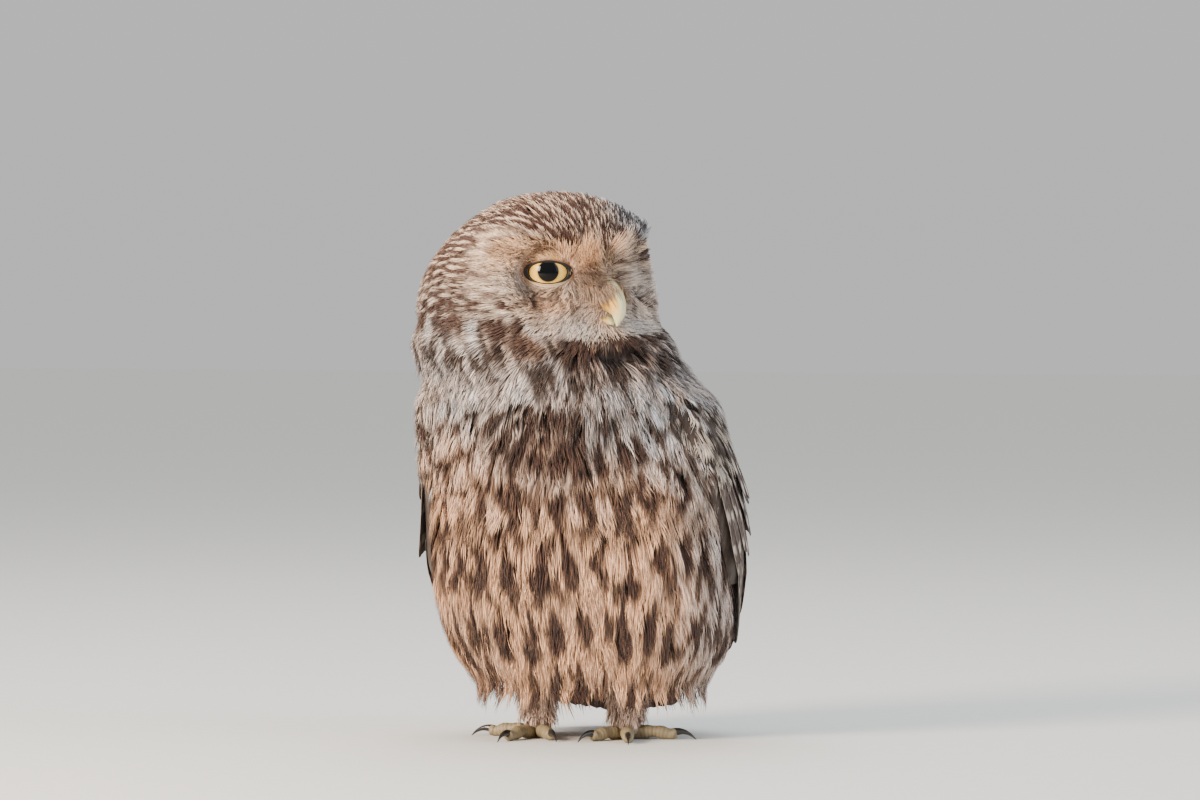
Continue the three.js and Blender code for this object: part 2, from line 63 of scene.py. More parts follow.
# The trunk as level rings from the throat down: height, middle x, middle y, and the reach to
# each side, to the front and to the back.
TRUNK_RINGS = [
    [156, -11, -20, 0.5, 0.5, 0.5],
    [155, -11, -20, 27, 23, 27],
    [149, -10.5, -19, 43.5, 36.5, 40],
    [140, -8, -16.5, 47.5, 40, 42],
    [128, -4, -13, 51, 43, 44],
    [114, -2.5, -9, 53.5, 46.5, 47],
    [98, -1, -5, 55.5, 49, 49],
    [80, 0, -1.5, 56.5, 50.5, 49.5],
    [62, 0, 1, 56.5, 50, 48],
    [46, 0.5, 3.5, 55, 47.5, 44],
    [33, 1, 5.5, 51.5, 44, 40],
    [23, 1, 7, 44.5, 38, 34],
    [16.5, 1, 8, 29, 25, 23],
    [15, 1, 8, 15, 13, 12],
    [14.8, 1, 8, 0.5, 0.5, 0.5],
]
HEM_Z = 22
HEM_TIPS = 7.5
TRUNK_TOP = 156
# The radius at which a turn round the trunk is taken as a length.
ARC_RADIUS = 50
# The trunk's middle line, up into the head: height, x, y. Round it the skin is unwrapped, one
# share of the map under the hem, one between and the rest over the head, and each tuft or vane
# has a small patch of it.
SPINE = np.array([[32, 1, 5.5], [80, 0, -1.5], [128, -4, -13], [148, -11, -20], [160, -13, -22]])
UNWRAP = {"under": 0.26, "between": 0.49, "over": 0.75, "patch": 0.003}
GUIDE = {"from": 62, "side_draw": 0.14, "back_draw": 0.08}

HEAD_MIDDLE = np.array([-13.0, -22.0, 158.0])
HEAD_TURN = 58 * DEG
HEAD = {"side": 42.2, "front": 37.6, "back": 43.4, "up": 42.6, "down": 33, "brim": 0.004}
FACE_SQUARENESS = 2.65
NAPE_SQUARENESS = 2
EYE = {"radius": 9.15, "side": 16.5, "front": 24, "up": 14.6, "outward": 42 * DEG, "rise": 2.5 * DEG}
OPENING = {"side": 6.9, "top": 3.2, "bottom": 4.3, "power": 2.2, "lid_radius": 10.2}
BOWL = {"radius": 13, "ahead": 16.5, "drop": 1.5}
NOSTRIL = {"radius": 1.0, "side": 4.6, "front": 38.4, "up": 8.6}
# The bill's halves as rows of forward, up, half width and half height, in the head's own axes.
BILL_UPPER = [
    [28, 8, 5, 6],
    [35.5, 7.4, 5.2, 6.2],
    [41, 4.4, 4.4, 4.9],
    [43.8, 0, 2.7, 2.9],
    [43.2, -5, 0.3, 0.3],
]
BILL_LOWER = [[28, -1.6, 4.2, 2], [34, -2, 4, 1.9], [38.6, -2.9, 3, 1.5], [41, -4.2, 0.8, 0.5]]

LEG = {"side": 17, "y": -3, "top": 30, "radius": 7.2, "ankle": 4.8}
# Each toe's heading, in degrees from the front towards its own side, and its length.
TOES = {"inner": (-30, 19), "middle": (15, 23), "outer": (95, 19), "hind": (172, 15)}
TOE = {"root": 2.5, "tip": 2, "start": 1.5, "arch": 1.1, "flat": 0.82, "joints": 3, "joint_rise": 0.1}
SCUTE = {"spacing": 1.5, "rise": 0.1}
CLAW = {"length": 9, "radius": 1.45, "sunk": 1.6, "z": 2.5, "rise": 22 * DEG, "bend": 39 * DEG}
TAIL = {"feathers": 12, "length": 66, "root_z": 70, "root_y": 50.5, "lean": 8 * DEG}

# A folded wing's front and back edges: height, and degrees round from the breast.
WING_FRONT = [[36, 106], [46, 92], [58, 82], [72, 75], [88, 71], [104, 67], [118, 62], [128, 60]]
WING_BACK = [[36, 146], [46, 152], [58, 160], [72, 168], [88, 169], [104, 166], [118, 152], [128, 118]]
WING_TOP = 127
WING_BOTTOM = 56
# Each tier of a wing: how many vanes the plain wing has and how many there are here, their half
# width, and from the first to the last the root and the tip as degrees round, height and lift.
WING_TIERS = {
    "primaries": (6, 9, 3.7, [80, 76, 2], [4, 1, 0], [107, 38, 2.6], [7.2, -3, 0.2]),
    "secondaries": (5, 9, 4.6, [92, 90, 2], [12, 0, 0], [118, 45, 4.4], [9.6, 1.9, 0]),
    "alula": (3, 4, 3.6, [75, 101, 2], [5, 0, 0], [82, 66, 4.5], [7, 1.5, 0]),
    "lower_coverts": (5, 10, 4.4, [86, 107, 2], [14, 0, 0], [99, 77, 5.2], [13.4, -0.7, 0]),
    "tertials": (3, 5, 5.2, [138, 108, 2.4], [9, 0, 0], [150, 56, 6.0], [7, 4, 0]),
    "upper_coverts": (5, 11, 4.3, [90, 118, 1.4], [13, 0, 0], [95, 88, 6.0], [13.2, 1, 0]),
}
VANE = {"steps": 34, "thick": 0.32, "shaft": 0.3}
# The pairs of spots down a vane: how far out, how thin, how far from the tip and how tall.
VANE_SPOTS = [(0.5, 2.1, 5.5, 3.3), (0.55, 2.2, 14.5, 3.2), (0.6, 2.4, 23, 3)]

# What the camera sees of the bird: the photograph is 444 mm wide at the owl, and its middle is a
# little to the right of the owl's and 125 mm up.
VIEW = {"azimuth": 14 * DEG, "rise": 1.5 * DEG, "lens": 200, "sensor": 36, "width": 444}
AIM = {"across": 5.92, "up": 125}
# The studio in metres: half the floor's width and how far the camera sees, and the sky's strength.
STUDIO = {"floor": 6, "far": 50, "sky": 0.72}


# Small sums


def smooth(x, low, high):
    """0 below low and 1 above high, by the cubic 3t^2 - 2t^3 between them; low may be the larger."""
    t = np.clip((x - low) / (high - low), 0, 1)
    return t * t * (3 - 2 * t)


def mix(a, b, t):
    """The straight mixture a + (b - a) t."""
    return a + (b - a) * t


def hill(distance, reach):
    """A round hill: e to the power of minus the square of distance over reach."""
    return np.exp(-((distance / reach) ** 2))


def unit(vectors):
    """Each vector divided by its own length."""
    return vectors / np.maximum(np.linalg.norm(vectors, axis=-1, keepdims=True), 1e-9)


def dot(a, b):
    """The scalar product over the last axis, which it keeps."""
    return (a * b).sum(-1, keepdims=True)


def lattice(cells, seed):
    """A fixed random value from 0 to 1 for each whole-numbered cell, by mixing its bits."""
    value = np.full(cells.shape[:-1], seed * 7919 + 17, np.int64)
    for k in range(cells.shape[-1]):
        value = (value ^ cells[..., k]) * 73856093 & 0xFFFFFFFF
        value = value ^ (value >> 15)
    value = value * 2654435761 & 0xFFFFFFFF
    value = value ^ (value >> 13)
    return (value & 0xFFFFF) / 0xFFFFF


def noise(points, scale, seed=0):
    """Smooth random values from -1 to 1: lattice values mixed by cubic weights in each cell."""
    p = np.asarray(points, float) / scale
    low = np.floor(p).astype(np.int64)
    f = smooth(p - low, 0, 1)
    total = 0
    for corner in itertools.product((0, 1), repeat=p.shape[-1]):
        weight = np.prod(np.where(np.array(corner) == 1, f, 1 - f), axis=-1)
        total = total + weight * lattice(low + np.array(corner), seed)
    return 2 * total - 1


def flat_noise(a, b, seed, scale=1):
    """Noise over two lengths, such as one round the bird and one up it."""
    return noise(np.stack([a, b], -1), scale, seed)


def smooth_row(rows, at):
    """A uniform Catmull-Rom curve: between two rows, the cubic whose slopes at its ends are
    half the difference of the rows on either side."""
    rows = np.asarray(rows, float)
    last = len(rows) - 1
    at = np.clip(np.asarray(at, float), 0, last)
    i = np.minimum(np.floor(at).astype(int), last - 1)
    t = (at - i)[..., None]
    a, b, c, d = (rows[np.clip(i + k, 0, last)] for k in (-1, 0, 1, 2))
    cubic = 3 * (b - c) + d - a
    square = 2 * a - 5 * b + 4 * c - d
    return b + 0.5 * t * (c - a + t * (square + t * cubic))


def read_off(table, at, column=1):
    """A value read off a table by its first column, mixed straight between rows."""
    table = np.asarray(table, float)
    return np.interp(at, table[:, 0], table[:, column])


def blend_low(a, b, width):
    """The lower of two values, rounded off where they are nearer than a width."""
    near = np.maximum(width - np.abs(a - b), 0) / width
    return np.minimum(a, b) - near * near * width / 4


def blend_high(a, b, width):
    """The higher of two values, rounded off where they are nearer than a width."""
    return -blend_low(-a, -b, width)


# The owl's form, as how far a point lies outside it


RING_TABLE = smooth_row(TRUNK_RINGS, np.linspace(len(TRUNK_RINGS) - 1, 0, 1401))


def ring_at(z):
    """The trunk's ring at a height, read off the smooth rows: x, y, side, front, back."""
    return [read_off(RING_TABLE, z, k) for k in range(1, 6)]


def to_head(points):
    """Places in the head's own axes: left, forward and up from its middle."""
    p = points - HEAD_MIDDLE
    c, s = math.cos(HEAD_TURN), math.sin(HEAD_TURN)
    return np.stack([c * p[..., 0] + s * p[..., 1], s * p[..., 0] - c * p[..., 1], p[..., 2]], -1)


def turn_head(p):
    """Directions in the head's own axes (left, forward, up), turned into the owl's."""
    c, s = math.cos(HEAD_TURN), math.sin(HEAD_TURN)
    left, forward = p[..., 0], p[..., 1]
    return np.stack([c * left + s * forward, s * left - c * forward, p[..., 2]], -1)


def eye_frame(side):
    """An eye's middle, the way it looks, its sideways axis and its upward axis."""
    level = math.cos(EYE["rise"])
    look = [side * math.sin(EYE["outward"]) * level, math.cos(EYE["outward"]) * level, math.sin(EYE["rise"])]
    look = unit(turn_head(np.array(look)))
    across = unit(np.cross([0, 0, 1], look))
    middle = HEAD_MIDDLE + turn_head(np.array([side * EYE["side"], EYE["front"], EYE["up"]]))
    return middle, look, across, np.cross(look, across)


def solids_shift():
    """How far the solids stand from this file's axes: an eyeball's middle there less the one here."""
    low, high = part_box("eye_left")
    return (np.array(low) + np.array(high)) / 2 / MM - eye_frame(1)[0]


SHIFT = solids_shift()


def face_relief(left, up):
    """What the face adds to the head's plain form: hollow discs, and hills along the brows, the
    bridge, the rim of the discs and the base of the bill."""
    side = np.abs(left)
    to_eye = np.hypot(side - EYE["side"], up - EYE["up"])
    along = np.clip((side - 4) / 26, 0, 1)
    to_brow = np.hypot(side - mix(4, 30, along), up - mix(19, 27.5, along))
    return (
        -2.4 * hill(to_eye, 11)
        + 2.6 * hill(to_brow, 5)
        + 1.8 * hill(left, 5) * hill(up - 11, 12)
        + 1.6 * hill(to_eye - 23, 4) * smooth(side, 14, 26)
        + 1.2 * hill(np.hypot(left, up - 1), 9)
    )


def head_reach(direction):
    """How far the head's surface lies from its middle along a direction in its own axes: a
    superellipsoid, squarer at the face than at the nape, plus the face's relief."""
    left, forward, up = direction[..., 0], direction[..., 1], direction[..., 2]
    square = mix(NAPE_SQUARENESS, FACE_SQUARENESS, smooth(forward, -0.3, 0.6))
    shares = (
        (np.abs(left) / HEAD["side"]) ** square
        + (np.abs(forward) / np.where(forward > 0, HEAD["front"], HEAD["back"])) ** square
        + (np.abs(up) / np.where(up > 0, HEAD["up"], HEAD["down"])) ** square
    )
    reach = shares ** (-1 / square)
    return reach + face_relief(left * reach, up * reach) * smooth(forward, 0.05, 0.5)


def brim(direction, forward):
    """How many times taller the crown grows: more, the further forward."""
    return 1 + HEAD["brim"] * forward * smooth(direction[..., 2], 0, 0.6)


def head_point(direction):
    """The head's surface along directions in its own axes."""
    out = direction * head_reach(direction)[..., None]
    out[..., 2] *= brim(direction, out[..., 1])
    return HEAD_MIDDLE + turn_head(out)


def outside_plain_head(points):
    """About how far points lie outside the head: their distance from its middle less its reach."""
    p = to_head(points)
    flat = p.copy()
    flat[..., 2] /= brim(unit(p), p[..., 1])
    away = np.linalg.norm(flat, axis=-1)
    return away - head_reach(flat / np.maximum(away, 1e-9)[..., None])


def outside_head(points):
    """How far points lie outside the head with a bowl hollowed before each eye and the lids' ball
    standing in it."""
    shell = outside_plain_head(points)
    for side in SIDES.values():
        middle, look, _, _ = eye_frame(side)
        from_eye = points - middle
        from_bowl = from_eye - BOWL["ahead"] * look + [0, 0, BOWL["drop"]]
        shell = blend_high(shell, BOWL["radius"] - np.linalg.norm(from_bowl, axis=-1), 2.5)
        shell = blend_low(shell, np.linalg.norm(from_eye, axis=-1) - OPENING["lid_radius"], 2.5)
    return shell


def ring_place(points, low):
    """Points seen from the middle of their ring, none lower than a height: the height, the places
    across and back, the share of the ring's reach, and the turn from the breast (0) to the owl's
    left (a quarter turn)."""
    z = np.clip(points[..., 2], low, TRUNK_TOP)
    x, y, side, front, back = ring_at(z)
    dx, dy = points[..., 0] - x, points[..., 1] - y
    wide, deep = dx / side, dy / np.where(dy < 0, front, back)
    return z, dx, dy, np.hypot(wide, deep) + 1e-6, np.arctan2(wide, -deep)


def trunk_turn(points):
    """How far round the trunk points lie, from the breast."""
    return ring_place(points, HEM_Z)[4]


def trunk_place(points):
    """Places on the trunk as lengths: how far round from the breast, and the height."""
    return ARC_RADIUS * trunk_turn(points), points[..., 2]


def wing_cover(turn, z, margin=0):
    """1 where a folded wing lies over the trunk, 0 off it, with soft edges, in degrees round."""
    degrees = np.abs(turn) / DEG
    first = read_off(WING_FRONT, z) + margin
    last = read_off(WING_BACK, z) - margin
    level = smooth(z, 36, 48) * smooth(z, 134, 122)
    return smooth(degrees, first - 5, first + 5) * smooth(degrees, last + 6, last - 6) * level


def outside_trunk(points):
    """About how far points lie outside the trunk, on the level: the ring's own share of the way
    out. The upper wing lifts the form, and below the hem the form goes straight down."""
    z, dx, dy, share, turn = ring_place(points, HEM_Z)
    wing = 4.2 * wing_cover(turn, z, 2) * smooth(z, 84, 100)
    return np.hypot(dx, dy) * (1 - 1 / share) - wing + 4 * np.maximum(points[..., 2] - TRUNK_TOP, 0)


def outside(points):
    """About how far points lie outside the bird's plumage: head and trunk, blended at the neck."""
    return blend_low(outside_head(points), outside_trunk(points), 15)


def outside_legs(points):
    """How far points lie outside the nearer shank, a cone narrowing to the ankle."""
    away = np.hypot(np.abs(points[..., 0]) - LEG["side"], points[..., 1] - LEG["y"])
    return away - mix(LEG["ankle"], LEG["radius"], np.clip(points[..., 2] / LEG["top"], 0, 1)) - 1.2


def outside_bill(points):
    """The head's form joined with a long ball round the bill's base, for the bristles to lie on."""
    p = to_head(points) - np.array([0, 37.5, 4.5])
    return blend_low(outside_head(points), 6 * (np.linalg.norm(p / [5.6, 7.5, 7.2], axis=-1) - 1), 3)


def settle(points, lift, form=outside, rounds=3):
    """Moves points to a given lift off the form, along its slope, by a few Newton steps. Also
    gives the way out of the form there."""
    step = 0.4
    for _ in range(rounds):
        value = form(points)
        slope = np.stack([form(points + step * axis) - value for axis in np.eye(3)], -1) / step
        size = np.maximum((slope**2).sum(-1), 0.25)
        points = points - ((value - lift) / size)[..., None] * slope
    return points, unit(slope)


# Where things are on the owl


def face_place(p):
    """Places in the head's axes as seen from the nearer eye: outwards from it and up from it."""
    return np.abs(p[..., 0]) - EYE["side"], p[..., 2] - EYE["up"]


def brow_height(p):
    """How far places in the head's axes lie above the line of the brows."""
    side = np.abs(p[..., 0])
    return p[..., 2] - mix(19, 26, np.clip((side - 3) / 24, 0, 1))


def opening_gap(points):
    """How far points lie outside the edge of the nearer eye's opening, a superellipse that is
    flatter above than below, and how much of that way is sideways. Far off the eyes it is 50."""
    gap = np.full(points.shape[:-1], 50.0)
    sideways = np.zeros(points.shape[:-1])
    power = OPENING["power"]
    for side in SIDES.values():
        middle, look, across, rise = eye_frame(side)
        q = points - middle
        x, y, ahead = q @ across, q @ rise, q @ look
        away = np.hypot(x, y)
        tall = np.where(y > 0, OPENING["top"], OPENING["bottom"])
        ratio = (np.abs(x / OPENING["side"]) ** power + np.abs(y / tall) ** power) ** (1 / power)
        here = np.where((ahead > 0) & (away < 22), away * (1 - 1 / np.maximum(ratio, 0.05)), 50)
        sideways = np.where(here < gap, np.abs(x) / np.maximum(away, 1e-6), sideways)
        gap = np.minimum(gap, here)
    return gap, sideways


def headness(points):
    """1 on the head, 0 on the trunk, soft where they meet."""
    return smooth(outside_trunk(points) - outside_head(points), -4, 4)


def faceness(points):
    """1 on the face inside the rim of its discs and under the brows, 0 off it."""
    p = to_head(points)
    disc = smooth(np.hypot(*face_place(p)), 25, 19)
    chin = hill(np.hypot(p[..., 0], p[..., 2] + 3), 14)
    return np.maximum(disc, chin) * smooth(brow_height(p), 2, -2) * smooth(p[..., 1], 6, 16)


def coat_depth(points):
    """How deep the coat is: deep on the body, shallow on the crown, least on the face."""
    return mix(6.5, mix(3.4, 1.4, faceness(points)), headness(points))


def leg_depth(points):
    """The short coat of the shanks."""
    return np.full(points.shape[:-1], 1.2)


def bristle_depth(points):
    """Bristles root just under the surface."""
    return np.full(points.shape[:-1], 0.5)


def lie(points):
    """The way the coat lies: back from the bill and away from the eyes on the head, turning down
    at the nape, and down on the trunk, a little outwards from the middle of the breast."""
    p = to_head(points)
    nape = smooth(p[..., 1], 8, -32)[..., None]
    low = smooth(p[..., 2], 4, -22)[..., None]
    way = unit(p - [0, 39, 3]) + np.array([0, -0.35, 0]) - np.array([0, 0, 1]) * (1.5 * nape + 1.1 * low)
    for side in SIDES.values():
        from_eye = p - [side * EYE["side"], EYE["front"] + 4, EYE["up"]]
        way = way + unit(from_eye) * (2.6 * hill(np.linalg.norm(from_eye, axis=-1), 14))[..., None]
    turn = trunk_turn(points)
    out = np.stack([np.cos(turn) * np.sin(turn), np.sin(turn) ** 2, 0 * turn], -1)
    return mix(np.array([0, 0, -1]) + 0.2 * out, turn_head(way), headness(points)[..., None])


def downwards(points):
    """A coat that lies straight down."""
    return np.broadcast_to(np.array([0, 0, -1.0]), points.shape)


def bridge_way(points):
    """Between the eyes the hairs run up and outwards, towards their inner corners."""
    p = to_head(points)
    side = np.sign(p[..., 0])
    return turn_head(np.stack([0.9 * side, 0.3 + 0 * side, mix(0.2, 0.9, smooth(p[..., 2], 10, 20))], -1))


def bristle_way(points):
    """Bristles run forwards and down over the bill's sides from the inner corners of the eyes."""
    p = to_head(points)
    side = np.sign(p[..., 0])
    return turn_head(np.stack([0.35 * side, 0.9 + 0 * side, -0.75 + 0.07 * (p[..., 2] - 4)], -1))


def inset(places):
    """Places on a map, drawn in a little from the edges of its square."""
    return places * 0.98 + 0.01


def unwrap(points):
    """Where points lie on the skin's own unwrap: how far round the middle line, and how far up,
    by angle under the hem and over the head and by height between them."""
    z = points[..., 2]
    dx = points[..., 0] - read_off(SPINE, z)
    dy = points[..., 1] - read_off(SPINE, z, 2)
    around = 0.5 + np.arctan2(dx, -dy) / (2 * math.pi)
    away = np.hypot(dx, dy)
    low, high = SPINE[0, 0], SPINE[-1, 0]
    under = UNWRAP["under"] * (1 - np.arctan2(low - z, away) / (math.pi / 2))
    over = UNWRAP["over"] + (1 - UNWRAP["over"]) * np.arctan2(z - high, away) / (math.pi / 2)
    between = UNWRAP["under"] + UNWRAP["between"] * (z - low) / (high - low)
    return inset(np.stack([around, np.where(z < low, under, np.where(z > high, over, between))], -1))


# Meshes


def outward(points, faces):
    """The faces turned so that the volume that they close is positive."""
    a, b, c = (points[faces[:, k]] for k in range(3))
    return faces if (a * np.cross(b, c)).sum() > 0 else faces[:, ::-1]


def make_mesh(name, points, faces, material, slot, maps=None, loop_maps=None, attributes=None):
    """A mesh object from arrays of triangles: points in millimetres, UV maps given per point or
    per corner, and colour attributes given per point."""
    mesh = bpy.data.meshes.new(name)
    turned = outward(points, faces)
    corners = turned.reshape(-1).astype(np.int32)
    mesh.vertices.add(len(points))
    mesh.vertices.foreach_set("co", ((points + SHIFT) * MM).astype(np.float32).reshape(-1))
    mesh.loops.add(len(corners))
    mesh.loops.foreach_set("vertex_index", corners)
    mesh.polygons.add(len(faces))
    mesh.polygons.foreach_set("loop_start", np.arange(0, len(corners), 3, dtype=np.int32))
    mesh.polygons.foreach_set("use_smooth", np.full(len(faces), True))
    mesh.update(calc_edges=True)
    for key, uv in (maps or {}).items():
        layer = mesh.uv_layers.new(name=key)
        layer.data.foreach_set("uv", uv[corners].astype(np.float32).reshape(-1))
    for key, uv in (loop_maps or {}).items():
        layer = mesh.uv_layers.new(name=key)
        uv = uv if turned is faces else uv[:, ::-1]
        layer.data.foreach_set("uv", uv.astype(np.float32).reshape(-1))
    for key, values in (attributes or {}).items():
        layer = mesh.color_attributes.new(name=key, type="FLOAT_COLOR", domain="POINT")
        layer.data.foreach_set("color", values.astype(np.float32).reshape(-1))
    mesh.materials.append(material)
    piece = bpy.data.objects.new(name, mesh)
    bpy.context.scene.collection.objects.link(piece)
    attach(piece, "root")
    return piece


def tube_faces(count, rows, columns):
    """Triangles of closed tubes, each a pole, rings of points and a pole. Also gives each corner's
    row, -1 at the first pole, and its column, not wrapped round."""
    row, column = np.meshgrid(np.arange(-1, rows), np.arange(columns), indexing="ij")
    corners = [(row, column), (row, column + 1), (row + 1, column + 1), (row + 1, column)]
    corners = [np.stack(c, -1) for c in corners]
    first = np.stack([corners[k] for k in (0, 1, 2)], -2)[1:].reshape(-1, 3, 2)
    second = np.stack([corners[k] for k in (0, 2, 3)], -2)[:-1].reshape(-1, 3, 2)
    both = np.concatenate([first, second])
    index = 1 + np.clip(both[..., 0], 0, rows - 1) * columns + both[..., 1] % columns
    index = np.where(both[..., 0] < 0, 0, np.where(both[..., 0] == rows, 1 + rows * columns, index))
    size = 2 + rows * columns
    return (index[None] + size * np.arange(count)[:, None, None]).reshape(-1, 3), both


def per_point(values):
    """Values on (tube, row, column) as one list of points, its first and last rows closed to poles."""
    width = values.shape[-1]
    body = values[:, 1:-1].reshape(len(values), -1, width)
    return np.concatenate([values[:, :1].mean(2), body, values[:, -1:].mean(2)], 1).reshape(-1, width)


def tubes(name, rings, material, slot, bake=None, colours=None, wrap_map=None):
    """Closed tubes from a (tube, row, column) array of places. bake gives each row's place on the
    skin's unwrap, colours each point's attributes, and wrap_map names a map that runs round the
    tube and along it."""
    count, rows, columns = rings.shape[0], rings.shape[1] - 2, rings.shape[2]
    faces, corner = tube_faces(count, rows, columns)
    full = rings.shape[:3]
    attributes = {k: per_point(np.broadcast_to(v, (*full, 4))) for k, v in (colours or {}).items()}
    maps = {} if bake is None else {"OFBake": per_point(np.broadcast_to(bake, (*full, 2)))}
    loops = {}
    if wrap_map:
        uv = inset(np.stack([corner[..., 1] / columns, (corner[..., 0] + 1) / (rows + 1)], -1))
        loops[wrap_map] = np.tile(uv, (count, 1, 1))
    return make_mesh(name, per_point(rings), faces, material, slot, maps, loops, attributes)


def rod(path, across, half_width, half_height, columns=24, shape=None):
    """One tube along a path: at each row an ellipse of a half width along across and a half
    height square to it and to the path. The ends close to their middles."""
    ahead = unit(np.gradient(path, axis=0))
    across = np.broadcast_to(across, path.shape)
    rise = unit(np.cross(across, ahead))
    angle = np.linspace(0, 2 * math.pi, columns, endpoint=False)[:, None]
    wide = half_width[:, None, None] * np.cos(angle) * across[:, None]
    tall = half_height[:, None, None] * np.sin(angle) * rise[:, None]
    body = path[:, None] + wide + tall
    if shape is not None:
        body = shape(body, path[:, None])
    ends = [np.broadcast_to(path[k], (1, columns, 3)) for k in (0, -1)]
    return np.concatenate([ends[0], body, ends[1]])[None]


def wheel(name, ring, material, slot, tint):
    """A closed ring from a (row, column) array that wraps round both ways."""
    rows, columns = ring.shape[:2]
    grid = np.meshgrid(np.arange(rows), np.arange(columns), indexing="ij")
    i, j = (a.reshape(-1) for a in grid)
    steps = ((0, 0), (0, 1), (1, 1), (1, 0))
    corners = [((i + di) % rows) * columns + (j + dj) % columns for di, dj in steps]
    halves = ((0, 1, 2), (0, 2, 3))
    faces = np.concatenate([np.stack([corners[k] for k in half], -1) for half in halves])
    attributes = {"tint": tint.reshape(-1, 4)}
    return make_mesh(name, ring.reshape(-1, 3), faces, material, slot, attributes=attributes)


# The coat


class Tufts(NamedTuple):
    """The numbers of one kind of tuft: its length, half width, barbs and their width, how many
    rings a barb has, how far its tip stands off, how much it strays in degrees, how ragged its
    tip is, how far it curls out, how much it comes to a point and how its length varies from
    clump to clump."""

    length: float
    half: float
    barbs: int
    width: float
    rings: int
    tip: float
    stray: float
    ragged: float = 0.12
    curl: float = 0.0
    point: float = 0.0
    clump: float = 0.0


def grow(roots, kind, marking, rng, seed, form, depth, way):
    """The rings, marks and unwrap places of a coat of tufts. Each root grows a fan of blades with
    three-sided sections: along the way the coat lies, out from the skin to the coat's surface,
    the outer blades shorter, so that the tuft ends in a round tip."""
    count, barbs, steps = len(roots), kind.barbs, kind.rings + 2
    base, normal = settle(roots, 0, form, 2)
    flow = way(base)
    flow = unit(flow - dot(flow, normal) * normal)
    side = np.cross(normal, flow)
    stray = kind.stray * DEG * (0.7 * rng.normal(size=count) + 1.1 * noise(base, 9, seed + 5))
    flow = flow * np.cos(stray)[:, None] + side * np.sin(stray)[:, None]
    side = np.cross(normal, flow)
    length = kind.length * (1 + 0.16 * rng.uniform(-1, 1, count) + kind.clump * noise(base, 11, seed + 6))
    lateral = np.linspace(-1, 1, barbs) if barbs > 1 else np.zeros(1)
    lateral = np.broadcast_to(lateral, (count, barbs)) + rng.normal(size=(count, barbs)) * 0.6 / barbs
    reach = length[:, None] * (1 - 0.28 * lateral**2) * (1 + kind.ragged * rng.uniform(-1, 1, (count, barbs)))
    room = (base[:, 2:] - (HEM_TIPS if form is outside else 1)) / np.maximum(-flow[:, 2:], 0.3)
    reach = np.minimum(reach, room * rng.uniform(0.8, 1, (count, barbs)))
    s = np.linspace(0, 1, steps) ** 0.9
    deep = depth(base)[:, None, None]
    raised = kind.tip * (1 + 0.9 * rng.normal(size=(count, 1, 1))) + 0.25 * rng.normal(size=(count, barbs, 1))
    lift = -deep - 0.4 + (deep + 0.4 + raised) * (1 - (1 - s) ** 1.7) + kind.curl * s**3
    fan = kind.half * (length / kind.length)[:, None, None] * lateral[..., None] * s**0.8
    fan = fan * (1 - kind.point * s**3)
    bend = 0.05 * rng.normal(size=(count, barbs, 1)) * reach[..., None] * s**2
    line = (
        base[:, None, None]
        + flow[:, None, None] * (reach[..., None] * s)[..., None]
        + side[:, None, None] * (fan + bend)[..., None]
    )
    path, normals = settle(line.reshape(count * barbs, steps, 3), lift.reshape(count * barbs, steps), form, 2)
    profile = np.interp(s, [0, 0.35, 0.75, 1], [0.75, 1, 0.9, 0.35])
    half = kind.width / 2 * profile * (1 + 0.2 * rng.uniform(-1, 1, (count * barbs, 1)))
    edge = unit(np.cross(normals, unit(np.gradient(path, axis=1)))) * half[..., None]
    rings = np.stack([path + edge, path - edge, path + normals * (0.35 * half[..., None])], 2)
    rings[:, 0] = path[:, :1]
    rings[:, -1] = path[:, -1:]
    tuft = np.repeat(np.arange(count), barbs)
    flat = lateral.reshape(-1, 1) + np.zeros(steps)
    along = np.broadcast_to(s, flat.shape)
    own = np.repeat(rng.uniform(size=(count, 3)), barbs, 0)
    marks = marking(path, along, own)
    patch = np.stack([0.5 * np.clip(flat, -1, 1), along - 0.5], -1)
    place = unwrap(base)[tuft][:, None] + UNWRAP["patch"] * patch
    return rings, marks[:, :, None], place[:, :, None]


def coat(name, roots, kind, marking, material, slot, seed, form=outside, depth=coat_depth, way=lie):
    """A coat of tufts over a region, as pieces that each stay under the limit of triangles."""
    rng = np.random.default_rng(seed)
    roots = roots[np.argsort(across_view(roots), kind="stable")]
    size = max(1, PIECE_LIMIT // (6 * kind.rings * kind.barbs))
    parts = max(1, -(-len(roots) // size))
    for k, some in enumerate(np.array_split(roots, parts)):
        rings, marks, place = grow(some, kind, marking, rng, seed, form, depth, way)
        tubes(f"{name}_{k + 1}", rings, material, slot, bake=place, colours={"marks": marks})


def thin_out(points, spacing):
    """Keeps one point in each cube of space, so that what is left stands about a spacing apart."""
    cell = np.floor(points / spacing).astype(np.int64)
    _, first = np.unique(cell, axis=0, return_index=True)
    return points[np.sort(first)]


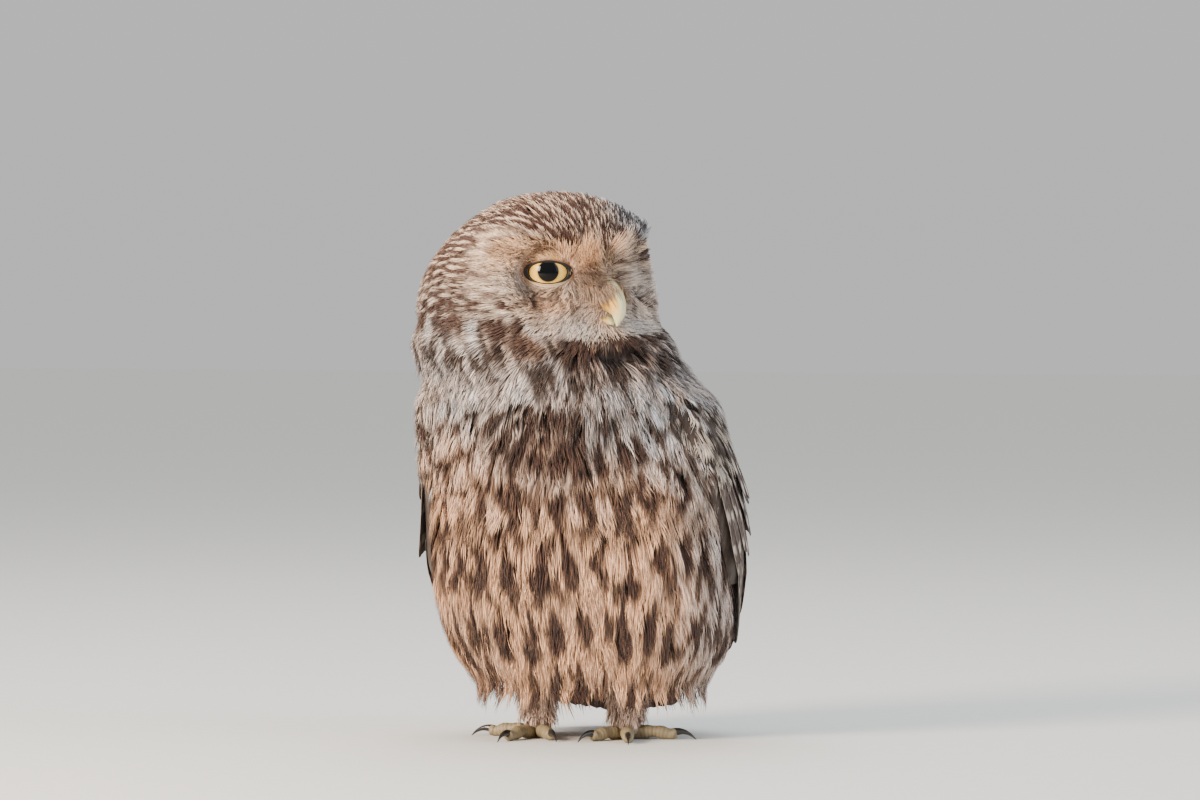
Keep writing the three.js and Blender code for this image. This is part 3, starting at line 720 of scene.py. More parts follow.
@functools.cache
def loose_roots():
    """Random roots all over the plumage, from directions about the head's middle and from turns
    and heights of the trunk, moved to the joined form, with what each region asks of them."""
    rng = np.random.default_rng(1)
    count = 330000
    head = head_point(unit(rng.normal(size=(count, 3))))
    turn = rng.uniform(-math.pi, math.pi, count // 3)
    z = rng.uniform(118, 154, count // 3)
    x, y, side, front, back = ring_at(z)
    reach = np.where(np.cos(turn) > 0, front, back)
    trunk = np.stack([x + side * np.sin(turn), y - reach * np.cos(turn), z], -1)
    points = np.concatenate([head[outside_trunk(head) > -1.5], trunk[outside_head(trunk) > -1.5]])
    points, _ = settle(rng.permutation(points), 0)
    p = to_head(points)
    gap, sideways = opening_gap(points)
    front_high = (brow_height(p) > 0) & (p[:, 2] > 4) & (p[:, 1] > -16)
    return {
        "points": points,
        "p": p,
        "head": headness(points) > 0.5,
        "face": faceness(points) > 0.45,
        "high": front_high | (p[:, 1] <= -16) & (p[:, 2] > 12),
        "gap": gap,
        "clear": gap > mix(np.where(face_place(p)[1] > 0, 0.75, 1.5), 1.7, sideways**4),
    }


def rows_of_roots(top, bottom, row_gap, gap, seed):
    """Roots in level rows round the trunk, each row set half a gap on from the one above, and
    each root a little out of its place."""
    rng = np.random.default_rng(seed)
    jitter = 0.2
    rows = []
    for n, z in enumerate(np.arange(top, bottom, -row_gap)):
        x, y, side, front, back = (float(v) for v in ring_at(z))
        count = int(round(math.pi * (side + (front + back) / 2) / gap))
        turn = (np.arange(count) + 0.5 * (n % 2) + jitter * rng.uniform(-1, 1, count)) / count * 2 * math.pi
        turn = (turn + math.pi) % (2 * math.pi) - math.pi
        height = z + jitter * row_gap * rng.uniform(-1, 1, count)
        reach = np.where(np.cos(turn) > 0, front, back)
        rows.append(np.stack([x + side * np.sin(turn), y - reach * np.cos(turn), height], -1))
    return settle(np.concatenate(rows), 0)[0]


# Markings: each gives rings of four numbers: how dark, how warm, how much of its light the
# place on the tuft keeps under painted shade, and a random number of its own


def shade(along, root):
    """Painted shade: the plumage is darker down at the roots of the barbs, by a root's share of its light."""
    return mix(root, 1, smooth(along, 0.05, 0.75))


def drops(x, y, width, height, half_width, half_height, seed, narrow, miss=0.0):
    """Drop-shaped marks, one in each cell of staggered rows: an oval whose upper end is narrow,
    with a share of them missed out."""
    row = np.floor(y / height)
    shifted = x / width + 0.5 * (row % 2)
    column = np.floor(shifted)
    cell = np.stack([column, row], -1).astype(np.int64)
    r1, r2, r3 = (lattice(cell, seed + k) for k in range(3))
    dx = (shifted - column - 0.5 - 0.3 * (r1 - 0.5)) * width
    dy = (y / height - row - 0.5 - 0.3 * (r2 - 0.5)) * height
    size = mix(0.8, 1.15, r3)
    taper = mix(narrow, 1, smooth(dy / half_height, 1.0, -0.5))
    distance = np.hypot(dx / (half_width * size * taper), dy / (half_height * size))
    return smooth(distance, 1.2, 0.8) * (r3 > miss)


def pack_marks(dark, warm, light, own):
    """The four numbers side by side."""
    return np.stack(np.broadcast_arrays(np.clip(dark, 0, 1), np.clip(warm, 0, 1), light, own), -1)


def drawn_back(path, share):
    """Where on the bird each ring takes its colour: its own place drawn towards the tip's, so a
    barb is nearly one colour all along, as a real one is."""
    return path[:, -1:] + share * (path - path[:, -1:])


def across_view(points):
    """How far points lie to the right, as the photograph looks at the bird."""
    return points[..., 0] * math.cos(VIEW["azimuth"]) + points[..., 1] * math.sin(VIEW["azimuth"])


def body_marks(points):
    """How dark and how warm the trunk is at a place: brown drops down the belly, pale drops on
    brown above them, white spots on brown at the sides, and in the middle of the breast dark
    streaks that spread from the throat, over a ruffled dark patch."""
    arc, z = trunk_place(points)
    across = across_view(points)
    ruffle = flat_noise(arc / 1.4, z / 9, 7)
    sway = 2.6 * flat_noise(arc, z, 3, 8) + 1.1 * ruffle
    level = z + 13 * noise(points, 18, 9)
    drift = z + 5 * flat_noise(arc / 7, z / 20, 13) + 1.5 * ruffle
    long = drops(arc + sway, drift, 10.5, 26, 3.5, 13.5, 11, 0.3)
    fine = drops(arc - sway + 5, drift + 9, 9.5, 19, 2.1, 9, 23, 0.3, 0.2)
    belly = np.maximum(long, 0.9 * fine)
    middle = 0.98 - drops(arc + sway, z, 9.4, 15, 3.1, 6.8, 31, 0.5)
    sides = 1 - drops(arc + sway, z + 0.25 * np.abs(arc), 9.8, 12.5, 4.3, 6.4, 37, 0.6)
    aside, below = across - 3, 162 - z
    spread = 75 * np.arctan2(aside, below)
    streaks = drops(spread + 0.7 * sway, -np.hypot(aside, below), 9.5, 17, 3.5, 8.8, 27, 0.5, 0.05)
    strands = flat_noise(arc / 1.1, z / 7, 8)
    patch = hill(across + 8, 18) * hill(z - 111, 16)
    upper = 0.37 + 0.8 * streaks + 0.42 * strands + 0.2 * noise(points, 9, 4) + 0.75 * patch
    to_sides = np.maximum(smooth(across, 18, 28), smooth(across, -34, -42)) * smooth(level, 74, 90)
    dark = mix(belly, middle, smooth(level, 70, 86))
    dark = mix(mix(dark, upper, smooth(level, 88, 106)), sides, to_sides)
    # Painted light: the warmth falls off to the right of the view, the side away from the warm key light,
    # where the cool colours stand for shade.
    warm = smooth(level, 136, 74) * mix(1, 0.4, smooth(across, 20, 50)) + 0.16 * noise(points, 14, 6)
    return dark, warm + 0.35 * dark * smooth(z, 140, 95)


def back_marks(points):
    """How dark and how warm the back and the shoulders are: round white spots on brown, larger
    on the shoulders."""
    arc, z = trunk_place(points)
    sway = 1.6 * flat_noise(arc, z, 91, 9)
    larger = mix(1, 1.4, smooth(np.abs(arc), 92, 70))
    spots = drops(arc + sway, z + sway, 8.6, 10.5, 2.5 * larger, 3.5 * larger, 92, 0.75, 0.06)
    strands = flat_noise(arc / 1.3, z / 8, 95)
    return 0.95 - 0.9 * spots + 0.22 * strands, 0.35 + 0.2 * noise(points, 12, 96)


def off_middle(along, spacing):
    """How far places lie from the nearest of the middles that stand a spacing apart."""
    return np.abs(along / spacing - np.round(along / spacing)) * spacing


def collar_marks(points):
    """How dark and how warm the ruff below the cheeks is: a row of dark brown patches, darkest at
    the throat, between grey-white tufts, and smaller grey ones below. Behind, it is as the back."""
    arc, z = trunk_place(points)
    across = across_view(points)
    wobble = 3 * noise(points, 9, 41)
    line = 144 + 0.0075 * np.minimum(across**2, 1200) + wobble
    row = smooth(off_middle(arc + 3 + wobble, 24), 11, 7.5) * hill(z - line, 6)
    lower = smooth(off_middle(arc + 12 - wobble, 15), 6, 3.5) * hill(z - line + 13, 5)
    throat = hill(across - 3, 21) * hill(z - 142, 6.5)
    dark = 0.38 + 0.9 * np.maximum(row, throat) + 0.75 * lower + 0.55 * flat_noise(arc / 1.1, z / 6, 43)
    marks = (dark, 0.3 + 0.5 * row + 0.2 * noise(points, 9, 44))
    behind = smooth(np.abs(arc) / ARC_RADIUS, 100 * DEG, 115 * DEG) * smooth(z, 153, 143)
    return joined(marks, back_marks(points), behind)


def face_marks(points):
    """How dark and how warm the face is: pale, with fine brown radiating from the eyes, brown
    hairs between the eyes and the bill, a brown mottle low under each eye and a white cheek. On
    the owl's left the face is painted colder and its brow has dark streaks, both as painted
    shade, and a painted shadow darkens the hollow round the outer eye."""
    p = to_head(points)
    out, rise = face_place(p)
    radial = np.arctan2(rise, out)
    fine = flat_noise(radial * 11, np.hypot(out, rise) / 8, 12)
    lore = hill(out + 9.5, 5) * hill(rise + 4, 7)
    under = hill(out - 9, 12) * hill(rise + 12, 4.5)
    white = hill(np.abs(p[..., 0]) - 14, 10) * hill(p[..., 2] + 7, 4.5)
    chin = hill(p[..., 0], 8) * smooth(p[..., 2], 2, -4)
    # A painted shadow over the hollow round the outer eye, on the owl's left.
    far = hill(p[..., 0] - 21, 4) * hill(p[..., 2] - 15, 6)
    dark = 0.15 + 0.4 * fine + 0.4 * lore + 0.5 * under * (0.7 + 1.6 * fine)
    # Painted shade: dark streaks over the brow on the owl's left only.
    streaks = smooth(p[..., 0], 0, 6) * smooth(rise, 0, 5) * smooth(fine, -0.35, 0.3)
    dark = dark * (1 - 0.95 * white) * (1 - 0.6 * chin) + 0.75 * far + 0.65 * streaks
    warm = mix(0.4, 1, smooth(rise, -5, 8)) * (1 - 0.8 * white) + 0.5 * lore + 0.2 * chin + 0.5 * under
    # Painted shade: the face is colder on the owl's left.
    return dark, warm * mix(1, 0.6, smooth(p[..., 0], 0, 10))


def head_cells(p, top):
    """Places on the head as lengths round it, from the top, and back over it, from the bill."""
    around = np.arctan2(p[..., 0], p[..., 2] - top) * 40
    back = np.arccos(np.clip(unit(p)[..., 1], -1, 1)) * 41
    return around, back


def head_marks(points):
    """How dark and how warm the crown, the sides of the head and the nape are. The crown has
    cream streaks in lines that run back from the forehead, on red-brown, a pale band along the
    brows and a brown patch above each eye. The sides and the nape are whitish, with brown
    between. On the owl's left all of it is painted colder, and its browns darker, as shade."""
    p = to_head(points)
    around, back = head_cells(p, 3)
    sway = 0.8 * flat_noise(around, back, 51, 6)
    cream = drops(around + sway, -back, 3.1, 10.0, 0.62, 4.6, 53, 0.7)
    cream = np.maximum(cream, drops(around + 1.5 + sway, 5 - back, 3.1, 10.0, 0.42, 3.2, 57, 0.7, 0.5))
    crown = (1.08 + 0.15 * noise(points, 5, 54)) * (1 - cream)
    height = brow_height(p)
    band = smooth(height, 7, 2) * smooth(p[..., 1], -4, 14) * smooth(np.abs(p[..., 0] + 3), 4, 14)
    crown = mix(crown, 0.3 + 0.6 * flat_noise(around / 1.6, back / 5, 55), 0.8 * band)
    crown = crown + 0.9 * hill(np.abs(p[..., 0]) - 17, 7) * hill(height - 4, 2.4) * smooth(p[..., 1], 10, 20)
    around, back = head_cells(p, -4)
    pale = drops(around + 2 * sway, -back, 3.6, 8.0, 0.95, 3.3, 61, 0.7, 0.08)
    sides = 1.0 - 0.85 * pale + 0.2 * noise(points, 4, 62)
    fine = flat_noise(around / 1.5, back / 6, 63)
    sides = mix(sides, 0.44 + 0.8 * fine, 0.8 * smooth(p[..., 1], -10, 14))
    upper = smooth(p[..., 2] + 3 * noise(points, 7, 64), 2, 22)
    # Painted light: warm on the owl's right, towards the warm key light, and cold on its left as painted
    # shade.
    warm = mix(1.0, 0.1, smooth(p[..., 0], 2, 26)) * mix(0.75, 1, upper)
    return mix(sides, crown, upper), warm


def joined(first, second, share):
    """Two regions' darkness and warmth, mixed by a share."""
    return tuple(mix(a, b, share) for a, b in zip(first, second))


def trunk_region(at):
    """The trunk's marks, turning into the collar's at its top."""
    return joined(body_marks(at), collar_marks(at), smooth(at[..., 2], 128, 138))


def cheek_region(at):
    """The collar's marks below the cheeks, turning into the head's higher up."""
    return joined(collar_marks(at), head_marks(at), smooth(at[..., 2], 153, 159))


def chin_region(at):
    """The face's marks under the bill, turning into the collar's lower down."""
    edge = 147 + 0.006 * np.minimum(across_view(at) ** 2, 1200)
    return joined(collar_marks(at), face_marks(at), smooth(at[..., 2] - edge, -1, 3))


def marking_by_place(region, share, vary, root):
    """A marking whose darkness and warmth come from a region's marks at a barb's place, drawn back
    by a share, with tufts that vary in darkness and barbs in shade at their root."""

    def marking(path, along, own):
        dark, warm = region(drawn_back(path, share))
        dark = dark + vary * (own[:, 1:2] - 0.5)
        return pack_marks(dark, warm, shade(along, root), own[:, :1] + 0 * along)

    return marking


body_marking = marking_by_place(trunk_region, 0.65, 0.16, 0.45)
crown_marking = marking_by_place(head_marks, 0.85, 0.1, 0.7)
collar_marking = marking_by_place(cheek_region, 0.6, 0.16, 0.55)
chin_marking = marking_by_place(chin_region, 0.6, 0.12, 0.7)
spotted_marking = marking_by_place(back_marks, 0.6, 0.12, 0.6)


def face_marking(path, along, own):
    """Marks by place on the face, each hair nearly one colour and a few of them dark."""
    dark, warm = face_marks(drawn_back(path, 0.3))
    dark = np.where(own[:, 1:2] > 0.84, dark + 0.4, dark)
    warm = warm + 0.2 * (own[:, 2:3] - 0.5)
    return pack_marks(dark, warm, shade(along, 0.75), own[:, :1] + 0 * along)


def leg_marking(path, along, own):
    """The shanks are cream with a few brown flecks."""
    dark = 0.15 + 0.25 * noise(path, 3, 71)
    return pack_marks(dark, 0.6 + 0 * along, shade(along, 0.7), own[:, :1] + 0 * along)


def bristle_marking(path, along, own):
    """The bristles over the bill are brown with paler ones between."""
    dark = 0.35 + 0.6 * (own[:, 1:2] - 0.4) + 0.25 * smooth(along, 0.4, 1)
    return pack_marks(dark, 0.75 + 0.3 * (own[:, 2:3] - 0.5), 0.9 + 0 * along, own[:, :1] + 0 * along)


def skin_marks(points):
    """The same markings on the skin as on the coat over it, each in its own region, in painted shade."""
    head = headness(points)
    behind = smooth(np.abs(trunk_turn(points)), 92 * DEG, 104 * DEG)
    marks = joined(body_marks(points), back_marks(points), behind)
    marks = joined(marks, collar_marks(points), smooth(points[..., 2], 128, 138))
    marks = joined(marks, head_marks(points), head)
    dark, warm = joined(marks, face_marks(points), head * faceness(points))
    # The skin keeps 0.6 of its light: painted shade, as between the tufts over it.
    return pack_marks(dark, warm, np.full_like(dark, 0.6), 0.5)


def vane_marks(kind, across, s, length, own):
    """Brown vanes with pale marks: bars and a pale rim on the primaries, the alula and the tail,
    and on the others round spots, paired on each side of the shaft."""
    from_tip = (1 - s) * length
    edge = np.abs(across)
    wave = 0.9 * flat_noise(across * 2, from_tip / 3 + 50 * own, 81) + 4 * (own - 0.5)
    if kind in ("primaries", "tail", "alula"):
        phase = (from_tip + wave) / (9 if kind == "primaries" else 13) % 1
        web = across > -0.15 if kind == "primaries" else edge > 0.12
        white = 0.85 * smooth(np.abs(phase - 0.5), 0.17, 0.07) * web * smooth(edge, 0.15, 0.5)
        white = np.maximum(white, 0.7 * smooth(edge, 0.86, 0.97) * smooth(from_tip, 0.5, 3))
    else:
        off = []
        for k, (out, thin, far, tall) in enumerate(VANE_SPOTS):
            size = 0.74 + 0.34 * np.sin(37 * own + 2 * k)
            off.append(np.hypot((edge - out) * thin, (from_tip - far + wave) / tall) / size)
        white = smooth(np.min(off, axis=0), 1.1, 0.8)
    barbs = flat_noise(from_tip * 1.6 + 2.2 * edge * 4, across * 1.5 + 40 * own, 82)
    light = 0.95 - 0.25 * hill(edge, 0.05) - 0.2 * smooth(edge, 0.85, 1)
    return pack_marks(1 - 0.85 * white + 0.22 * barbs, 0.3 + 0.25 * own, light, own)


# Settings


def rgb(text):
    """An sRGB hex colour as linear red, green, blue and 1."""
    values = [int(text[k : k + 2], 16) / 255 for k in (0, 2, 4)]
    return (*[v / 12.92 if v <= 0.04045 else ((v + 0.055) / 1.055) ** 2.4 for v in values], 1.0)


def length_setting(name, description, millimetres, least=0.1, most=60.0):
    """A length that a user may change, in metres."""
    return bpy.props.FloatProperty(
        name=name,
        description=description,
        default=millimetres * MM,
        min=least * MM,
        max=most * MM,
        subtype="DISTANCE",
        unit="LENGTH",
        precision=4,
    )


def colour_setting(name, description, text):
    """A colour that a user may change."""
    return bpy.props.FloatVectorProperty(
        name=name, description=description, default=rgb(text), size=4, min=0, max=1, subtype="COLOR"
    )


class PlumageSizes(bpy.types.PropertyGroup):
    face_spacing: length_setting("Face spacing", "From one hair of the face to the next", 1.08)
    crown_spacing: length_setting("Crown spacing", "From one feather of the crown to the next", 2.15)
    body_spacing: length_setting("Body spacing", "From one feather of the breast to the next", 4.6)
    face_length: length_setting("Face hairs", "How long a hair of the face is", 5.2)
    crown_length: length_setting("Crown feathers", "How long a feather of the crown is", 8)
    breast_length: length_setting("Breast feathers", "How long a feather of the breast is", 17)
    belly_length: length_setting("Belly feathers", "How long a feather of the belly is", 24)
    barb: length_setting("Barb", "How wide one barb of the body is", 0.46, 0.2, 3)


class EyeSizes(bpy.types.PropertyGroup):
    iris: length_setting("Iris", "The radius of the iris", 7.15)
    pupil: length_setting("Pupil", "The radius of the pupil", 3.65)
    cornea: length_setting("Cornea", "How far the cornea stands out", 0.8)


class OwlColours(bpy.types.PropertyGroup):
    light_cool: colour_setting("Cool light", "White barbs in the breast", "dbdce1")
    light_warm: colour_setting("Warm light", "Peach barbs in the belly", "f5c29a")
    dark_cool: colour_setting("Cool dark", "Dark brown barbs in the breast", "38291f")
    dark_warm: colour_setting("Warm dark", "Red-brown barbs in the belly", "3f2114")
    crown_light: colour_setting("Crown streaks", "The cream streaks of the crown", "f4d6bb")
    crown_dark: colour_setting("Crown", "The red-brown of the crown", "4a2716")
    # Painted shade: this brown colours the crown's far side, on the owl's left; elsewhere it is mixed in as a
    # cooler brown of the crown and cheeks.
    crown_cool_and_shaded: colour_setting("Cold crown", "The brown of the crown's far side", "2a2221")
    face_warm: colour_setting("Warm face", "The peach round the brows", "f4c69c")
    face_cool: colour_setting("Cool face", "The grey-white of the lower face", "e8dfd8")
    face_hair: colour_setting("Face hairs", "The brown hairs of the face", "4f2f1e")
    wing_light: colour_setting("Wing spots", "The white spots of the wing", "cfc9c0")
    wing_dark: colour_setting("Wing", "The brown of the wing", "3b2d26")
    iris: colour_setting("Iris", "The pale yellow of the iris", "f6c45a")
    bill: colour_setting("Bill", "The pale horn of the bill's ridge", "dcd5a4")
    bill_side: colour_setting("Bill sides", "The yellow of the bill's sides", "dda845")
    claw: colour_setting("Claws", "The dark horn of the claws", "1d1a18")
    toe: colour_setting("Toes", "The skin of the toes", "8f8062")
    floor: colour_setting("Floor", "The studio's floor", "e4e3df")


def lengths(group):
    """A group of lengths as they stand, in millimetres."""
    return {key: getattr(group, key) / MM for key in type(group).__annotations__}


def colours():
    """The colours as they stand."""
    group = bpy.context.scene.owl_colours
    return {key: np.array(getattr(group, key)) for key in OwlColours.__annotations__}


def tones(*keys):
    """Some of the colours as they stand, in the order asked for."""
    return [colours()[key] for key in keys]


# Materials


def add(tree, kind, links=None, **settings):
    """Adds a node of a kind with its settings; links gives each input a value, an output of
    another node, or another node for its first output."""
    made = tree.nodes.new(kind)
    for key, value in settings.items():
        setattr(made, key, value)
    for key, value in (links or {}).items():
        if isinstance(value, bpy.types.Node):
            value = value.outputs[0]
        if isinstance(value, bpy.types.NodeSocket):
            tree.links.new(value, made.inputs[key])
        else:
            made.inputs[key].default_value = value
    return made


def material_from(name, build):
    """The material of a name, made once: build(tree) gives its shader."""
    if name in bpy.data.materials:
        return bpy.data.materials[name]
    material = bpy.data.materials.new(name)
    material.use_nodes = True
    tree = material.node_tree
    tree.nodes.clear()
    add(tree, "ShaderNodeOutputMaterial", {"Surface": build(tree)})
    return material


def grain(tree, millimetres, detail=2.0, squeeze=1.0):
    """Noise with bumps of a size, drawn out along Z where squeeze is under 1."""
    place = add(tree, "ShaderNodeTexCoord").outputs["Object"]
    place = add(tree, "ShaderNodeMapping", {"Vector": place, "Scale": (1, 1, squeeze)})
    links = {"Vector": place, "Scale": 1 / (millimetres * MM * 2), "Detail": detail}
    return add(tree, "ShaderNodeTexNoise", links)


def plumage_material(name, light_cool, light_warm, dark_cool, dark_warm, barb_mm=0.9):
    """Keratin barbs: matt and soft, with a faint sheen. The marks attribute says how dark and how
    warm a place is, and noise along the barbs breaks the colour up."""

    def build(tree):
        marks = add(tree, "ShaderNodeAttribute", attribute_name="marks")
        split = add(tree, "ShaderNodeSeparateColor", {"Color": marks}).outputs
        barbs = grain(tree, barb_mm, 2.0, 0.2)
        uneven = add(tree, "ShaderNodeMath", {0: barbs, 1: 0.36, 2: -0.18}, operation="MULTIPLY_ADD")
        dark = add(tree, "ShaderNodeMath", {0: split[0], 1: uneven}, operation="ADD", use_clamp=True)
        pair = [(light_cool, light_warm), (dark_cool, dark_warm)]
        pair = [{0: split[1], 6: cool, 7: warm} for cool, warm in pair]
        light, deep = (add(tree, "ShaderNodeMix", links, data_type="RGBA").outputs[2] for links in pair)
        colour = add(tree, "ShaderNodeMix", {0: dark, 6: light, 7: deep}, data_type="RGBA").outputs[2]
        links = {0: marks.outputs["Alpha"], 1: 0.24, 2: 0.86}
        strength = add(tree, "ShaderNodeMath", links, operation="MULTIPLY_ADD")
        links = {0: grain(tree, barb_mm), 1: 0.3, 2: 0.85}
        fleck = add(tree, "ShaderNodeMath", links, operation="MULTIPLY_ADD")
        # The third number of the marks darkens the colour as painted shade.
        for share in (fleck, split[2]):
            strength = add(tree, "ShaderNodeMath", {0: strength, 1: share}, operation="MULTIPLY")
        links = {0: colour, "Scale": strength}
        bump = {"Height": barbs, "Strength": 0.25, "Distance": 0.2 * MM}
        links = {
            "Base Color": add(tree, "ShaderNodeVectorMath", links, operation="SCALE"),
            "Roughness": 0.85,
            "Normal": add(tree, "ShaderNodeBump", bump),
            "Sheen Weight": 0.05,
            "IOR": 1.54,
        }
        return add(tree, "ShaderNodeBsdfPrincipled", links)

    return material_from(name, build)


def body_plumage():
    """Down-like barbs of the breast and belly."""
    four = tones("light_cool", "light_warm", "dark_cool", "dark_warm")
    return plumage_material("breast feathers, soft barbs", *four)


def crown_plumage():
    """Short close feathers of the crown and cheeks."""
    four = tones("light_cool", "crown_light", "crown_cool_and_shaded", "crown_dark")
    return plumage_material("crown feathers, short barbs", *four, 0.7)


def face_plumage():
    """Hair-like feathers of the face."""
    four = tones("face_cool", "face_warm", "dark_cool", "face_hair")
    return plumage_material("face feathers, fine bristles", *four, 0.6)


def wing_plumage():
    """Firm vanes of the wings, back and tail, whose barbs lie close."""
    spot, peach, brown, red = tones("wing_light", "light_warm", "wing_dark", "dark_warm")
    return plumage_material("wing and back feathers, firm vanes", spot, mix(spot, peach, 0.5), brown, red)


def tinted_material(name, roughness, bump_mm, bump_strength, ior=1.5, clear_coat=0.0):
    """A material whose colour is the piece's own tint attribute, broken up by fine noise."""

    def build(tree):
        tint = add(tree, "ShaderNodeAttribute", attribute_name="tint")
        fine = grain(tree, bump_mm, 3.0)
        pair = [{0: fine, 1: 0.3, 2: 0.85}, {0: fine, 1: 0.1, 2: roughness - 0.05}]
        strength, rough = (add(tree, "ShaderNodeMath", links, operation="MULTIPLY_ADD") for links in pair)
        bump = {"Height": fine, "Strength": bump_strength, "Distance": 0.1 * MM}
        links = {
            "Base Color": add(tree, "ShaderNodeVectorMath", {0: tint, "Scale": strength}, operation="SCALE"),
            "Roughness": rough,
            "Normal": add(tree, "ShaderNodeBump", bump),
            "IOR": ior,
            "Coat Weight": clear_coat,
            "Coat Roughness": 0.03,
        }
        return add(tree, "ShaderNodeBsdfPrincipled", links)

    return material_from(name, build)


def eye_material():
    """A wet eye: a pale iris with fine spokes under a clear glossy cornea."""

    def build(tree):
        links = {
            "Base Color": add(tree, "ShaderNodeAttribute", attribute_name="tint"),
            "Roughness": 0.25,
            "IOR": 1.38,
            "Specular IOR Level": 0.0,
            "Coat Weight": 0.6,
            "Coat Roughness": 0.09,
            "Coat IOR": 1.38,
        }
        return add(tree, "ShaderNodeBsdfPrincipled", links)

    return material_from("eye, wet cornea over the iris", build)


# The pieces


def solve_rays(start, way, level, reach=90.0, rounds=18):
    """How far along each ray a level function turns positive, by halving the span."""
    low, high = np.zeros(start.shape[:-1]), np.full(start.shape[:-1], reach)
    for _ in range(rounds):
        middle = (low + high) / 2
        inside = level(start + way * middle[..., None]) < 0
        low, high = np.where(inside, middle, low), np.where(inside, high, middle)
    return (low + high) / 2


def skin_level(points):
    """Where the skin lies: under the plumage's surface by nine tenths of the coat's depth, and
    drawn in under the hem."""
    return outside(points) + 0.9 * coat_depth(points) + 3.2 * np.maximum(25 - points[..., 2], 0)


def join(piece, other):
    """The Boolean union of two closed pieces, kept as the first's mesh; the second is removed."""
    before = len(piece.data.polygons)
    union = piece.modifiers.new("join", "BOOLEAN")
    union.operation = "UNION"
    union.solver = "MANIFOLD"
    union.object = other
    graph = bpy.context.evaluated_depsgraph_get()
    mesh = bpy.data.meshes.new_from_object(piece.evaluated_get(graph), depsgraph=graph)
    if len(mesh.polygons) < 0.9 * before:
        raise RuntimeError("the union came out empty")
    piece.modifiers.remove(union)
    piece.data = mesh
    bpy.data.objects.remove(other)


def build_skin():
    """The skin: rays from the spine, turned down under the hem and up over the head, each followed
    out to the skin's level. The shanks are cones joined to it by a Boolean union."""
    rows, columns = ((180, 160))
    v = (np.arange(rows + 2) / (rows + 1))[:, None]
    angle = (np.arange(columns) / columns - 0.5)[None] * 2 * math.pi
    under, over = UNWRAP["under"], UNWRAP["over"]
    tilt = math.pi / 2 * (np.maximum(v - over, 0) / (1 - over) - np.maximum(under - v, 0) / under)
    z = mix(SPINE[0, 0], SPINE[-1, 0], np.clip((v - under) / UNWRAP["between"], 0, 1)) + 0 * angle
    start = np.stack([read_off(SPINE, z), read_off(SPINE, z, 2), z], -1)
    level = np.cos(tilt)
    way = np.stack([level * np.sin(angle), -level * np.cos(angle), np.sin(tilt) + 0 * angle], -1)
    place = start + way * solve_rays(start, way, skin_level)[..., None]
    marks = {"marks": skin_marks(place)[None]}
    skin = tubes("skin", place[None], body_plumage(), "breast_plumage", colours=marks, wrap_map="OFBake")
    for side in SIDES.values():
        t = np.linspace(0, 1, 12)
        path = np.stack([side * LEG["side"] + 0 * t, LEG["y"] + 0 * t, mix(LEG["top"], 2.2, t)], -1)
        radius = mix(LEG["radius"], LEG["ankle"], t)
        rings = rod(path, np.array([1.0, 0, 0]), radius, radius)
        # The shank's skin keeps 0.6 of its light: painted shade, as under the coat.
        marks = {"marks": pack_marks(np.full(rings.shape[:3], 0.2), 0.6, 0.6, 0.5)}
        join(skin, tubes("shank", rings, body_plumage(), "leg_plumage", colours=marks, wrap_map="OFBake"))
    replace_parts(skin, "head", "neck", "torso", "leg_left", "leg_right")


def build_face():
    """Fine hairs over the face, shortest round the eyes, longer and looser under the bill."""
    size = lengths(bpy.context.scene.owl_plumage)
    field = loose_roots()
    p = field["p"]
    on = field["face"] & field["head"] & field["clear"]
    near = field["gap"] < 3.5
    material = face_plumage()
    close = thin_out(field["points"][on & near], 0.5)
    parts = (material, "crown_plumage", 20, outside, bristle_depth)
    coat("eyelid_feathers", close, Tufts(2.8, 0.1, 1, 0.24, 3, 0.3, 8), face_marking, *parts)
    roots = thin_out(field["points"][on & ~near], size["face_spacing"])
    kind = Tufts(size["face_length"], 0.4, 3, 0.26, 3, 0.35, 8)
    coat("face_feathers", roots, kind, face_marking, material, "crown_plumage", 21)
    low = field["head"] & (p[:, 2] < -6) & (p[:, 1] > 6) & (np.abs(p[:, 0]) < 26)
    roots = thin_out(field["points"][low], 2.2)
    kind = Tufts(11, 1.6, 7, 0.36, 3, 0.6, 12, 0.2)
    coat("chin_feathers", roots, kind, chin_marking, body_plumage(), "breast_plumage", 31)


def build_crown():
    """Short close feathers over the crown, and brows and a bridge that stand out a little."""
    size = lengths(bpy.context.scene.owl_plumage)
    field = loose_roots()
    p = field["p"]
    on = field["head"] & ~field["face"] & field["high"] & field["clear"]
    material = crown_plumage()
    roots = thin_out(field["points"][on], size["crown_spacing"])
    kind = Tufts(size["crown_length"], 1.25, 7, 0.4, 3, 0.3, 5)
    coat("crown_feathers", roots, kind, crown_marking, material, "crown_plumage", 22)
    brow = on & (np.abs(brow_height(p) - 1.5) < 2.5) & (p[:, 1] > 10)
    roots = thin_out(field["points"][brow], 1.5)
    kind = Tufts(8.5, 0.9, 4, 0.3, 4, 0.6, 9, curl=0.7)
    coat("brow_feathers", roots, kind, crown_marking, material, "crown_plumage", 32)
    bridge = field["head"] & (np.abs(p[:, 0] - 1.5) < 9) & (np.abs(p[:, 2] - 15.5) < 6.5) & (p[:, 1] > 28)
    roots = thin_out(field["points"][bridge & (field["gap"] > 2)], 1.0)
    kind = Tufts(8.5, 0.8, 4, 0.26, 4, 0.8, 10, 0.2, curl=5.0)
    parts = (face_plumage(), "crown_plumage", 34, outside_plain_head, bristle_depth, bridge_way)
    coat("bridge_feathers", roots, kind, face_marking, *parts)


